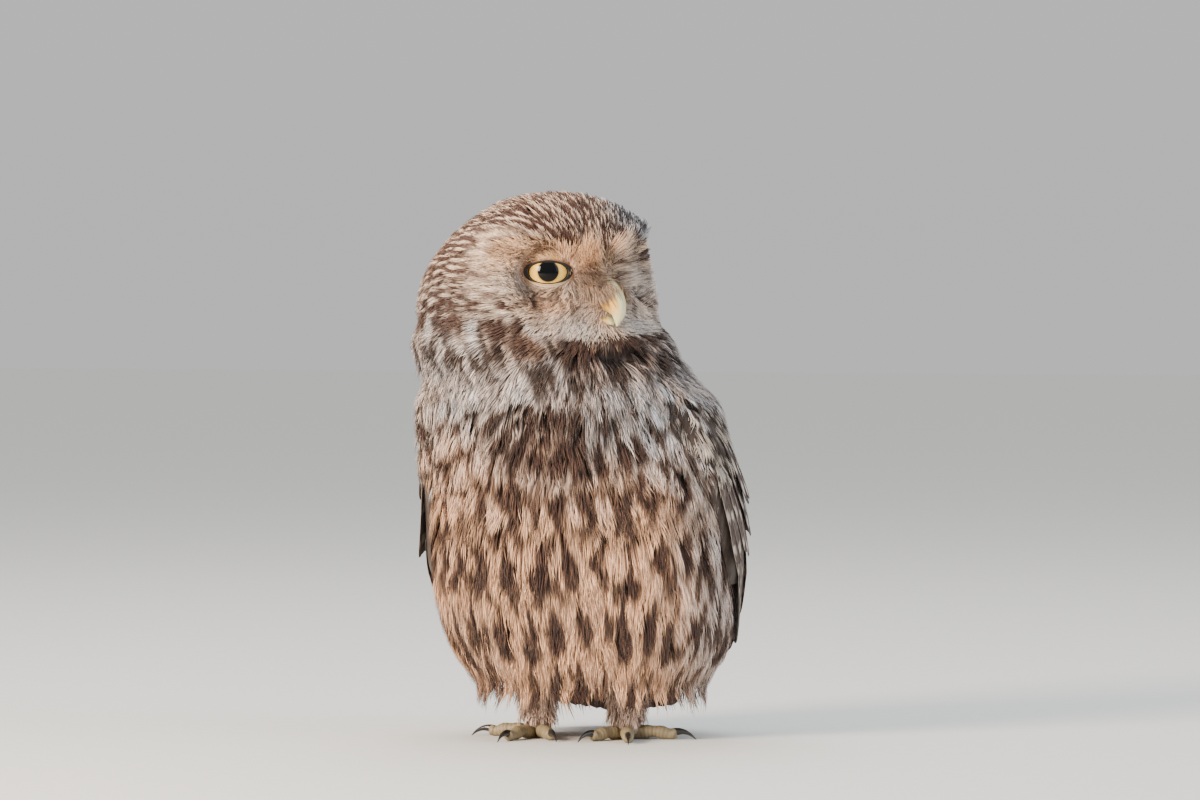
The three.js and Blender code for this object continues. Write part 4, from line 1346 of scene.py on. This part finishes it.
def build_cheeks():
    """The sides of the head, the nape and the ruff under the cheeks."""
    field = loose_roots()
    z = field["points"][:, 2]
    off = ~field["face"] & ~field["high"] & field["clear"]
    roots = thin_out(field["points"][field["head"] & off & (z > 149)], 2.4)
    kind = Tufts(8.5, 1.5, 8, 0.42, 3, 0.45, 8)
    coat("cheek_feathers", roots, kind, collar_marking, crown_plumage(), "crown_plumage", 23)
    roots = thin_out(field["points"][off & (z > 131) & ((z <= 151) | ~field["head"])], 2.9)
    kind = Tufts(11.5, 2.0, 11, 0.42, 3, 0.8, 13, 0.18, point=0.2)
    coat("collar_feathers", roots, kind, collar_marking, body_plumage(), "breast_plumage", 24)


def body_rows():
    """The rows of the trunk's feathers that no wing hides, and which of them face forwards."""
    rows = rows_of_roots(138, 26, 5.0, lengths(bpy.context.scene.owl_plumage)["body_spacing"], 5)
    turn = trunk_turn(rows)
    clear = (wing_cover(turn, rows[:, 2], 6) < 0.5) & (outside_head(rows) > 1)
    return rows[clear], np.abs(turn[clear]) < 98 * DEG


def build_breast():
    """Loose feathers over the breast and the belly, longer lower down, and shorter at the hem."""
    size = lengths(bpy.context.scene.owl_plumage)
    rows, front = body_rows()
    z = rows[:, 2]
    material = body_plumage()
    kind = Tufts(size["breast_length"], 3.8, 23, size["barb"], 3, 0.6, 11, 0.2, point=0.2)
    coat("breast_feathers", rows[front & (z > 84)], kind, body_marking, material, "breast_plumage", 25)
    kind = Tufts(size["belly_length"], 4.2, 25, size["barb"], 3, 0.6, 8, 0.2, point=0.35)
    belly = rows[front & (z <= 84) & (z > 40)]
    coat("belly_feathers", belly, kind, body_marking, material, "breast_plumage", 26)
    kind = Tufts(19, 4.0, 21, size["barb"], 3, 0.2, 10, 0.25, point=0.45, clump=0.3)
    coat("hem_feathers", rows[z <= 40], kind, body_marking, material, "breast_plumage", 29)


def build_back():
    """Spotted feathers over the back, the rump and the shoulders."""
    rows, front = body_rows()
    kind = Tufts(20, 4.4, 21, 0.55, 3, 0.4, 7)
    back = rows[~front & (rows[:, 2] > 40)]
    coat("back_feathers", back, kind, spotted_marking, wing_plumage(), "back_plumage", 27)
    rows = rows_of_roots(132, 96, 5.5, 6.4, 6)
    on = wing_cover(trunk_turn(rows), rows[:, 2], -4) > 0.4
    kind = Tufts(17, 4.6, 23, 0.52, 3, 0.5, 6, 0.08)
    coat("shoulder_feathers", rows[on], kind, spotted_marking, wing_plumage(), "back_plumage", 28)


def build_leg_feathers():
    """Short cream feathers down the shanks."""
    rng = np.random.default_rng(7)
    count = 4000
    side = rng.choice([-1, 1], count)
    angle = rng.uniform(0, 2 * math.pi, count)
    z = rng.uniform(9.5, 24, count)
    roots = np.stack([side * LEG["side"] + 7 * np.cos(angle), LEG["y"] + 7 * np.sin(angle), z], -1)
    roots = thin_out(settle(roots, 0, outside_legs)[0], 2.1)
    kind = Tufts(6.5, 1.3, 4, 0.5, 3, 0.7, 10)
    parts = (body_plumage(), "leg_plumage", 30, outside_legs, leg_depth, downwards)
    coat("leg_feathers", roots, kind, leg_marking, *parts)


def guide_place(side, turn, z, lift):
    """The form that the wing's vanes lie on: the trunk's ring, drawn in a little below its widest
    part, at a turn from the breast and a height, lifted off by a lift. Also gives the way out."""

    def on(turn, z):
        x, y, reach, front, back = ring_at(np.maximum(z, GUIDE["from"]))
        under = np.maximum(GUIDE["from"] - z, 0)
        reach, back = reach - GUIDE["side_draw"] * under, back - GUIDE["back_draw"] * under
        deep = np.where(np.cos(turn) > 0, front, back)
        across = x + side * reach * np.sin(turn)
        return np.stack([across, y + 0.1 * under - deep * np.cos(turn), z + 0 * turn], -1)

    here = on(turn, z)
    out = unit(np.cross(on(turn + 0.01, z) - here, on(turn, z + 0.3) - here)) * side
    return here + out * np.asarray(lift)[..., None], out


def vane_rings(places, outs, widths, tilt):
    """Closed flat vanes along rows of places: across each row two layers of points, the upper with
    a low shaft down its middle, meeting at thin rims. Gives the rings, and each point's place
    across from -1 to 1."""
    ahead = unit(np.gradient(places, axis=1))
    sideways = unit(np.cross(ahead, outs))
    half = [0.06, 0.14, 0.34, 0.54, 0.72, 0.88, 1]
    across = np.array([-x for x in half[::-1]] + [0] + half)
    loop = np.concatenate([across, across[::-1]])
    upper = np.repeat([1, -1], len(across))
    arch = upper * VANE["thick"] / 2 * (1 - 0.7 * loop**2) + (upper > 0) * VANE["shaft"] * hill(loop, 0.08)
    flat = widths[..., None] * loop
    rings = (
        places[:, :, None]
        + sideways[:, :, None] * flat[..., None]
        + outs[:, :, None] * (arch + tilt * flat - 0.03 * flat**2)[..., None]
    )
    return rings, np.broadcast_to(loop, flat.shape)


def vane_width(s, half, ragged):
    """A vane's half width along it: filling out from the quill, then an even blade, then round."""
    tip = np.clip((s - 0.86) / 0.14, 0, 1)
    return half * np.minimum(0.55 + 1.1 * s, 1) * np.sqrt(np.maximum(1 - tip**2.2, 0.004)) * (1 + ragged)


def vane_rows(count, power):
    """How far along each row of a vane is, 0 at the root, by a power: closer towards the tip."""
    return (1 - (1 - np.linspace(0, 1, VANE["steps"])) ** power)[None] + np.zeros((count, 1))


def vanes(name, kind, places, outs, s, half, ragged, tilt, seed):
    """A row of vanes as one piece, each with its own marks, on its own patch of the unwrap."""
    own = np.random.default_rng(seed).uniform(size=(len(places), 1, 1))
    rings, across = vane_rings(places, outs, vane_width(s, half, ragged), tilt)
    length = np.linalg.norm(np.diff(places, axis=1), axis=-1).sum(1)[:, None, None]
    along = s[..., None] + 0 * across
    marks = vane_marks(kind, across, along, length, own + 0 * across)
    patch = UNWRAP["patch"] * np.stack([0.5 * across, along - 0.5], -1)
    place = unwrap(places[:, :1])[:, :, None] + patch
    return tubes(name, rings, wing_plumage(), "back_plumage", place, {"marks": marks})


def wing_vanes(word, side, tier):
    """A tier's vanes: places from root to tip on the wing's guide, evenly spread from the first
    to the last."""
    plain, count, half, root, root_step, tip, tip_step = WING_TIERS[tier]
    rng = np.random.default_rng(90 + len(tier) + 7 * side)
    n = (np.arange(count) * (plain - 1) / (count - 1))[:, None]
    first = np.array(root) + n * np.array(root_step) + rng.normal(size=(count, 3)) * [0.6, 0.8, 0.05]
    last = np.array(tip) + n * np.array(tip_step) + rng.normal(size=(count, 3)) * [0.5, 0.9, 0.15]
    s = vane_rows(count, 1.4)
    at = first[:, None] + (last - first)[:, None] * s[..., None]
    places, outs = guide_place(side, at[..., 0] * DEG, at[..., 1], at[..., 2])
    ragged = 0.05 * flat_noise(s * 14, s * 0 + 9 * np.arange(count)[:, None], 83)
    return vanes(f"wing_{word}_{tier}", tier, places, outs, s, half, ragged, 0.2 * side, 40 + len(tier))


def wing_bed(word, side, rows=40, columns=30):
    """The bed under the vanes: a closed shell between the wing's edges, a little off the body."""
    q, p = np.meshgrid(np.linspace(0, 1, rows + 2), np.linspace(0, 1, columns), indexing="ij")
    z = mix(WING_TOP, WING_BOTTOM, q)
    turn = mix(read_off(WING_FRONT, z), read_off(WING_BACK, z), p) * DEG
    round_off = np.sqrt(np.clip(1 - (2 * p - 1) ** 6, 0, 1)) * smooth(q, -0.05, 0.2) * smooth(q, 1.05, 0.85)
    upper, _ = guide_place(side, turn, z, 0.6 + 2.2 * round_off)
    under, _ = guide_place(side, turn, z, 0.4 - 0.6 * round_off)
    ring = np.concatenate([upper, under[:, ::-1]], 1)[None]
    # The bed is the wing's brown and keeps 0.6 of its light: painted shade under the vanes.
    marks = {"marks": pack_marks(np.full(ring.shape[:3], 0.95), 0.3, 0.6, 0.5)}
    return tubes(f"wing_{word}_bed", ring, wing_plumage(), "back_plumage", unwrap(ring), marks)


def build_wings():
    """Each folded wing: a bed, and tiers of overlapping vanes that end in rows of spots."""
    for word, side in SIDES.items():
        pieces = [wing_bed(word, side)] + [wing_vanes(word, side, tier) for tier in WING_TIERS]
        for piece in pieces:
            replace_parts(piece, f"wing_{word}")


def build_tail():
    """The folded tail: long vanes spread a little, the middle ones on top."""
    count = TAIL["feathers"]
    n = (np.arange(count) - (count - 1) / 2)[:, None]
    s = vane_rows(count, 1.3)
    down = np.array([0, math.sin(TAIL["lean"]), -math.cos(TAIL["lean"])])
    out = np.array([0, math.cos(TAIL["lean"]), math.sin(TAIL["lean"])])
    spread = mix(1.9, 3.8, s) * n
    length = TAIL["length"] - 0.9 * np.abs(n)
    places = np.array([0, TAIL["root_y"], TAIL["root_z"]]) + down * (length * s)[..., None]
    places = places + np.array([1, 0, 0]) * spread[..., None]
    places = places + out * (-0.42 * np.abs(n) - 0.012 * spread**2)[..., None]
    outs = np.broadcast_to(out, places.shape)
    tail = vanes("tail_feathers", "tail", places, outs, s, 5.4, 0.02 * np.sin(40 * s + n), 0, 12)
    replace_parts(tail, "tail")


def ball_radius(off):
    """The eyeball's radius where it is some way off its axis: a sphere, and over the iris a
    cornea that stands out by a parabola."""
    size = lengths(bpy.context.scene.owl_eyes)
    return EYE["radius"] + size["cornea"] * np.maximum(1 - (off / (size["iris"] + 1)) ** 2, 0)


def build_eyes():
    """Each eyeball: circles round the way it looks, coloured by distance from that axis: pupil,
    spoked iris, dark rim."""
    size = lengths(bpy.context.scene.owl_eyes)
    iris, pupil = size["iris"], size["pupil"]
    rows, columns = 90, 96
    polar = (math.pi * np.linspace(0, 1, rows) ** 1.5)[:, None]
    angle = (np.arange(columns) / columns * 2 * math.pi)[None]
    off = EYE["radius"] * np.sin(polar) + 0 * angle
    radius = np.where(polar < math.pi / 2, ball_radius(off), EYE["radius"])
    round_axis = [np.cos(angle) * 30 + 0 * off, np.sin(angle) * 30 + 0 * off, off * 1.2]
    spokes = noise(np.stack(round_axis, -1), 1, 5)
    ground = colours()["iris"] * (mix(0.72, 1.0, smooth(off, pupil, pupil + 1.1)) + 0.1 * spokes)[..., None]
    tint = mix(ground, np.array(rgb("030405")), smooth(off, pupil + 0.12, pupil - 0.12)[..., None])
    tint = mix(tint, np.array(rgb("1a120c")), smooth(off, iris - 0.55, iris + 0.05)[..., None])
    tint[..., 3] = 1
    for word, side in SIDES.items():
        middle, look, across, rise = eye_frame(side)
        ring = np.cos(angle)[..., None] * across + np.sin(angle)[..., None] * rise
        way = np.cos(polar)[..., None] * look + np.sin(polar)[..., None] * ring
        ball = (middle + radius[..., None] * way)[None]
        eye = tubes(f"eye_{word}_ball", ball, eye_material(), "eye", colours={"tint": tint[None]})
        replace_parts(eye, f"eye_{word}")


def build_lids():
    """The rims of the lids, as a ring of bare skin round each opening. It starts on the eyeball,
    rolls over a thick edge and lies on the face, where the feathers begin. It is black at the
    edge, widest at the corners, where the wider black is painted shade in their hollows, with a
    pale line and a fine dark one under the lower lid."""
    angle = np.linspace(0, 2 * math.pi, 200, endpoint=False)[None]
    d = np.concatenate([[-0.35, -0.1, 0.05], np.linspace(0.15, 3.2, 27)])[:, None]
    tall = np.where(np.sin(angle) > 0, OPENING["top"], OPENING["bottom"])
    power = OPENING["power"]
    shares = np.abs(np.cos(angle) / OPENING["side"]) ** power + np.abs(np.sin(angle) / tall) ** power
    away = shares ** (-1 / power) + d
    corner = np.abs(np.cos(angle)) ** 7
    upper = smooth(np.sin(angle), -0.12, 0.12)
    # The rim's black is the skin's own; it widens at the corners as painted shade in their hollows.
    black = mix(mix(0.42, 0.85, upper), 2.1, corner)
    pale = (1 - upper) * (1 - corner)
    skin = mix(np.array(rgb("8f6b50")), np.array(rgb("cdb08f")), pale[..., None])
    tint = mix(np.array(rgb("0f0c0a")), skin, smooth(d, black - 0.12, black + 0.12)[..., None])
    tint = mix(tint, np.array(rgb("3a2a1e")), (hill(d - 1.75, 0.16) * pale)[..., None])
    fold = 0.09 * np.cos(d * 2 * math.pi / 0.75 + 0.6 * np.sin(3 * angle))
    fold = fold * smooth(d, 0.5, 1.0) + 0.28 * hill(d - 0.45, 0.4)
    dips_from = mix(mix(1.7, 0.9, upper), 1.6, corner)
    dips_to = mix(mix(3.0, 2.2, upper), 3.2, corner)
    fold = fold - 1.3 * smooth(d, dips_from, dips_to)
    ball = np.sqrt(np.maximum(ball_radius(away) ** 2 - away**2, 0.1))
    material = tinted_material("eyelids, bare wrinkled skin", 0.5, 0.35, 0.35, 1.45)
    for word, side in SIDES.items():
        middle, look, across, rise = eye_frame(side)
        flat = middle + (away * np.cos(angle))[..., None] * across + (away * np.sin(angle))[..., None] * rise
        start = flat + 3 * look
        ahead = 3 + solve_rays(start, np.broadcast_to(look, start.shape), outside_head, 14.0)
        height = mix(ball - 0.15, ahead, smooth(d, -0.35, 0.75)) + fold
        top = flat + height[..., None] * look
        bottom = (top - (0.5 + 0.8 * smooth(d, -0.4, 1.5))[..., None] * look)[::-3]
        ring = np.concatenate([top, bottom])
        wheel(f"eyelids_{word}", ring, material, "eye", np.concatenate([tint, tint[::-3]]))


def nostril_dent(body, path):
    """Draws the bill's surface towards its middle line round each nostril, by a round hill."""
    p = to_head(body)
    to_hole = [np.abs(p[..., 0]) - NOSTRIL["side"], p[..., 1] - NOSTRIL["front"], p[..., 2] - NOSTRIL["up"]]
    hole = hill(np.linalg.norm(to_hole, axis=0), NOSTRIL["radius"])
    return body + (path - body) * 0.22 * hole[..., None]


def build_bill():
    """The bill's two halves as rods along smooth rows of places and half sizes. The upper one is
    dented at the nostrils and dark in them as painted shade of the holes, pale at its ridge and
    tip and yellow beside."""
    left = turn_head(np.array([1.0, 0, 0]))
    c = colours()
    material = tinted_material("bill, polished horn", 0.38, 0.8, 0.15, 1.55, 0.1)
    for name, rows, count in (("bill_upper", BILL_UPPER, 120), ("bill_lower", BILL_LOWER, 60)):
        upper = name == "bill_upper"
        at = smooth_row(rows, (1 - (1 - np.linspace(0, 1, count)) ** 1.25) * (len(rows) - 1))
        path = HEAD_MIDDLE + turn_head(np.stack([0 * at[:, 0], at[:, 0], at[:, 1]], -1))
        rings = rod(path, left, at[:, 2], at[:, 3], 64, nostril_dent if upper else None)
        angle = np.linspace(0, 2 * math.pi, 64, endpoint=False)
        along = np.linspace(0, 1, count + 2)[:, None]
        sides = smooth(np.abs(np.cos(angle)), 0.25, 0.85) * smooth(along, 0.82, 0.55)
        tint = mix(c["bill"], c["bill_side"], sides[..., None])
        # Painted shade: the nostrils are darkened as holes in the horn.
        p = to_head(rings[0])
        to_hole = np.hypot(p[..., 1] - NOSTRIL["front"], p[..., 2] - NOSTRIL["up"])
        dark = hill(to_hole, 0.8) * (np.abs(p[..., 0]) > 3) * upper
        tint = mix(tint, np.array(rgb("2a2016")), dark[..., None])
        bill = tubes(f"{name}_horn", rings, material, "bill", colours={"tint": tint[None]})
        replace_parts(bill, name)


def build_bristles():
    """Long fine bristles over the base of the bill."""
    field = loose_roots()
    p = field["p"]
    near = np.hypot(np.abs(p[:, 0]) - 5, p[:, 2] - 13) < 5.5
    on = near & (p[:, 1] > 24) & (field["gap"] > 3) & (np.abs(p[:, 0]) > 0.6)
    roots = thin_out(field["points"][on], 0.8)
    kind = Tufts(8.5, 0.9, 3, 0.24, 4, 0.6, 10, 0.25)
    parts = (face_plumage(), "crown_plumage", 33, outside_bill, bristle_depth, bristle_way)
    coat("bill_bristles", roots, kind, bristle_marking, *parts)


def foot_rod(slot, place, finish, path, across, half_width, half_height, material, tint):
    """A toe or a claw: a rod tinted row by row, in place of the plain one."""
    node = f"{slot}_{place}"
    rings = rod(path, across, half_width, half_height)
    colour = {"tint": np.broadcast_to(tint[None, :, None], (*rings.shape[:3], 4))}
    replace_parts(tubes(f"{node}_{finish}", rings, material, slot, colours=colour), node)


def build_feet():
    """Toes as rods thickened at their joints and ringed with scutes, and curved tapering claws."""
    c = colours()
    skin = tinted_material("toes, scaly skin", 0.55, 0.5, 0.5)
    horn = tinted_material("claws, polished horn", 0.25, 0.6, 0.1, 1.55, 0.2)
    s = np.linspace(0, 1, 60)
    t = np.linspace(0, 1, 40)
    plain = mix(TOE["root"], TOE["tip"], s)
    round_tip = np.sqrt(1 - 0.95 * np.clip((s - 0.9) / 0.1, 0, 1) ** 2)
    taper = CLAW["radius"] * (1 - 0.92 * t)
    rise = CLAW["rise"] - CLAW["bend"] * t
    toe_rows, claw_rows = (np.linspace(0, 1, len(rows) + 2) for rows in (s, t))
    for (word, side), (toe, (heading, length)) in itertools.product(SIDES.items(), TOES.items()):
        ahead = np.array([side * math.sin(heading * DEG), -math.cos(heading * DEG), 0])
        foot = np.array([side * LEG["side"], LEG["y"], 0])
        across = np.cross([0, 0, 1], ahead)
        ripple = np.abs(np.sin(math.pi * s * length / SCUTE["spacing"]))
        knots = 1 + TOE["joint_rise"] * np.cos(2 * math.pi * TOE["joints"] * s)
        radius = plain * knots * round_tip + SCUTE["rise"] * ripple
        path = foot + ahead * mix(TOE["start"], length, s)[:, None]
        path[:, 2] = np.maximum(TOE["flat"] * plain + TOE["arch"] * np.sin(math.pi * s) ** 2, radius)
        # Painted shade: the toe's skin is darker in the grooves between the scutes.
        groove_shade = 1 - np.interp(toe_rows, s, ripple)
        tint = mix(c["toe"], np.array(rgb("4a3f2e")), 0.5 * groove_shade[:, None])
        foot_rod("toe", f"{word}_{toe}", "skin", path, across, radius, 0.98 * radius, skin, tint)
        path = foot + ahead * (length - CLAW["sunk"] + CLAW["length"] * t * np.cos(rise))[:, None]
        path[:, 2] = np.maximum(CLAW["z"] + CLAW["length"] * t * np.sin(rise), taper + 0.05)
        tall = np.minimum(1.15 * taper, path[:, 2])
        tint = mix(c["claw"], np.array(rgb("4b4138")), smooth(claw_rows, 0.25, 0)[:, None])
        foot_rod("claw", f"{word}_{toe}", "horn", path, across, taper, tall, horn, tint)


def aim(thing, place, way):
    """Puts a camera or a lamp at a place, in metres, with its back towards a way."""
    thing.location = place
    thing.rotation_mode = "QUATERNION"
    thing.rotation_quaternion = Vector(way).to_track_quat("Z", "Y")


def build_stage():
    """A wide pale floor, a camera at the photograph's angle, a warm key light from its left, a
    cool fill from its right, and a soft light from above."""
    scene = bpy.context.scene
    floor = bpy.data.meshes.new("floor")
    half = STUDIO["floor"]
    corners = [(-half, -half, 0), (half, -half, 0), (half, half, 0), (-half, half, 0)]
    floor.from_pydata(corners, [], [(0, 1, 2, 3)])

    def paper(tree):
        links = {0: grain(tree, 3.0, 3.0), 6: colours()["floor"], 7: rgb("dad9d5")}
        cloudy = add(tree, "ShaderNodeMix", links, data_type="RGBA").outputs[2]
        return add(tree, "ShaderNodeBsdfPrincipled", {"Base Color": cloudy, "Roughness": 0.9})

    floor.materials.append(material_from("studio paper, matt", paper))
    ground = bpy.data.objects.new("floor", floor)
    scene.collection.objects.link(ground)
    a, e = VIEW["azimuth"], VIEW["rise"]
    right = np.array([math.cos(a), math.sin(a), 0])
    back = np.array([math.sin(a) * math.cos(e), -math.cos(a) * math.cos(e), math.sin(e)])
    target = SHIFT + AIM["across"] * right + [0, 0, AIM["up"]]
    data = bpy.data.cameras.new("camera")
    data.lens = VIEW["lens"]
    data.sensor_width = VIEW["sensor"]
    data.clip_end = STUDIO["far"]
    camera = bpy.data.objects.new("camera", data)
    scene.collection.objects.link(camera)
    aim(camera, (target + VIEW["width"] * VIEW["lens"] / VIEW["sensor"] * back) * MM, back)
    scene.camera = camera
    lights = {
        "key": (-1.05 * right + 0.9 * back + [0, 0, 0.45], 0.5, 54, (1.0, 0.83, 0.66)),
        "fill": (1.2 * right + 0.6 * back + [0, 0, 0.6], 1.0, 10, (0.7, 0.85, 1.0)),
        "above": (-0.1 * right - 0.5 * back + [0, 0, 1.3], 0.9, 12, (0.93, 0.96, 1.0)),
    }
    for name, (place, size, power, colour) in lights.items():
        lamp = bpy.data.lights.new(name, "AREA")
        lamp.size = size
        lamp.energy = power
        lamp.color = colour
        thing = bpy.data.objects.new(name, lamp)
        scene.collection.objects.link(thing)
        aim(thing, place + np.array([0, 0, 0.1]), place)
    world = bpy.data.worlds.new("studio")
    scene.world = world
    world.use_nodes = True
    tree = world.node_tree
    way = add(tree, "ShaderNodeTexCoord").outputs["Generated"]
    up = add(tree, "ShaderNodeSeparateXYZ", {0: way}).outputs[2]
    up = add(tree, "ShaderNodeMath", {0: up}, operation="ABSOLUTE")
    links = {0: up, 6: (0.86, 0.86, 0.86, 1), 7: (1.22, 1.25, 1.27, 1)}
    sky = add(tree, "ShaderNodeMix", links, data_type="RGBA").outputs[2]
    background = tree.nodes["Background"]
    tree.links.new(sky, background.inputs["Color"])
    background.inputs["Strength"].default_value = STUDIO["sky"]


# Operators


class OWL_OT_stage(bpy.types.Operator):
    """The floor, the camera and the studio's lights, under a sky as bright low down as the floor"""

    bl_idname = "owl.stage"
    bl_label = "Studio"

    def execute(self, context):
        build_stage()
        return {"FINISHED"}


class OWL_OT_skin(bpy.types.Operator):
    """The skin under the plumage, one closed surface of head, neck, trunk and shanks"""

    bl_idname = "owl.skin"
    bl_label = "Skin"

    def execute(self, context):
        build_skin()
        return {"FINISHED"}


class OWL_OT_eyes(bpy.types.Operator):
    """Both eyeballs, with iris, pupil and cornea, and the rims of their lids"""

    bl_idname = "owl.eyes"
    bl_label = "Eyes and lids"

    def execute(self, context):
        build_eyes()
        build_lids()
        return {"FINISHED"}


class OWL_OT_bill(bpy.types.Operator):
    """The bill and the bristles over its base"""

    bl_idname = "owl.bill"
    bl_label = "Bill and bristles"

    def execute(self, context):
        build_bill()
        build_bristles()
        return {"FINISHED"}


class OWL_OT_face(bpy.types.Operator):
    """The fine hairs of the face"""

    bl_idname = "owl.face"
    bl_label = "Face feathers"

    def execute(self, context):
        build_face()
        return {"FINISHED"}


class OWL_OT_crown(bpy.types.Operator):
    """The streaked feathers of the crown and the brows"""

    bl_idname = "owl.crown"
    bl_label = "Crown feathers"

    def execute(self, context):
        build_crown()
        return {"FINISHED"}


class OWL_OT_cheeks(bpy.types.Operator):
    """The mottled feathers of the cheeks, the nape and the collar"""

    bl_idname = "owl.cheeks"
    bl_label = "Cheek and collar feathers"

    def execute(self, context):
        build_cheeks()
        return {"FINISHED"}


class OWL_OT_breast(bpy.types.Operator):
    """The streaked feathers of the breast, the belly and its hem"""

    bl_idname = "owl.breast"
    bl_label = "Breast and belly feathers"

    def execute(self, context):
        build_breast()
        return {"FINISHED"}


class OWL_OT_back(bpy.types.Operator):
    """The spotted feathers of the back and the shoulders"""

    bl_idname = "owl.back"
    bl_label = "Back and shoulder feathers"

    def execute(self, context):
        build_back()
        return {"FINISHED"}


class OWL_OT_wings(bpy.types.Operator):
    """Both folded wings, with their tiers of vanes, and the tail"""

    bl_idname = "owl.wings"
    bl_label = "Wings and tail"

    def execute(self, context):
        build_wings()
        build_tail()
        return {"FINISHED"}


class OWL_OT_feet(bpy.types.Operator):
    """The feathered shanks, the toes and the claws"""

    bl_idname = "owl.feet"
    bl_label = "Legs and feet"

    def execute(self, context):
        build_leg_feathers()
        build_feet()
        return {"FINISHED"}


OPERATORS = (
    OWL_OT_stage,
    OWL_OT_skin,
    OWL_OT_eyes,
    OWL_OT_bill,
    OWL_OT_face,
    OWL_OT_crown,
    OWL_OT_cheeks,
    OWL_OT_breast,
    OWL_OT_back,
    OWL_OT_wings,
    OWL_OT_feet,
)
SETTINGS = {"owl_plumage": PlumageSizes, "owl_eyes": EyeSizes, "owl_colours": OwlColours}


class OWL_PT_panel(bpy.types.Panel):
    """The owl's sizes, colours and pieces"""

    bl_idname = "OWL_PT_panel"
    bl_label = "Little Owl"
    bl_space_type = "VIEW_3D"
    bl_region_type = "UI"
    bl_category = "Little Owl"

    def draw(self, context):
        for name, kind in SETTINGS.items():
            box = self.layout.box()
            for key in kind.__annotations__:
                box.prop(getattr(context.scene, name), key)
        for operator in OPERATORS:
            self.layout.operator(operator.bl_idname)


CLASSES = (*SETTINGS.values(), *OPERATORS, OWL_PT_panel)


def register():
    """Adds the classes and the scene's settings."""
    for each in CLASSES:
        bpy.utils.register_class(each)
    for key, group in SETTINGS.items():
        setattr(bpy.types.Scene, key, bpy.props.PointerProperty(type=group))


def unregister():
    """Takes them away again."""
    for key in SETTINGS:
        delattr(bpy.types.Scene, key)
    for each in reversed(CLASSES):
        bpy.utils.unregister_class(each)


def main():
    """Builds every piece in order."""
    register()
    for operator in OPERATORS:
        getattr(bpy.ops.owl, operator.bl_idname.split(".")[1])()


if __name__ == "__main__":
    main()
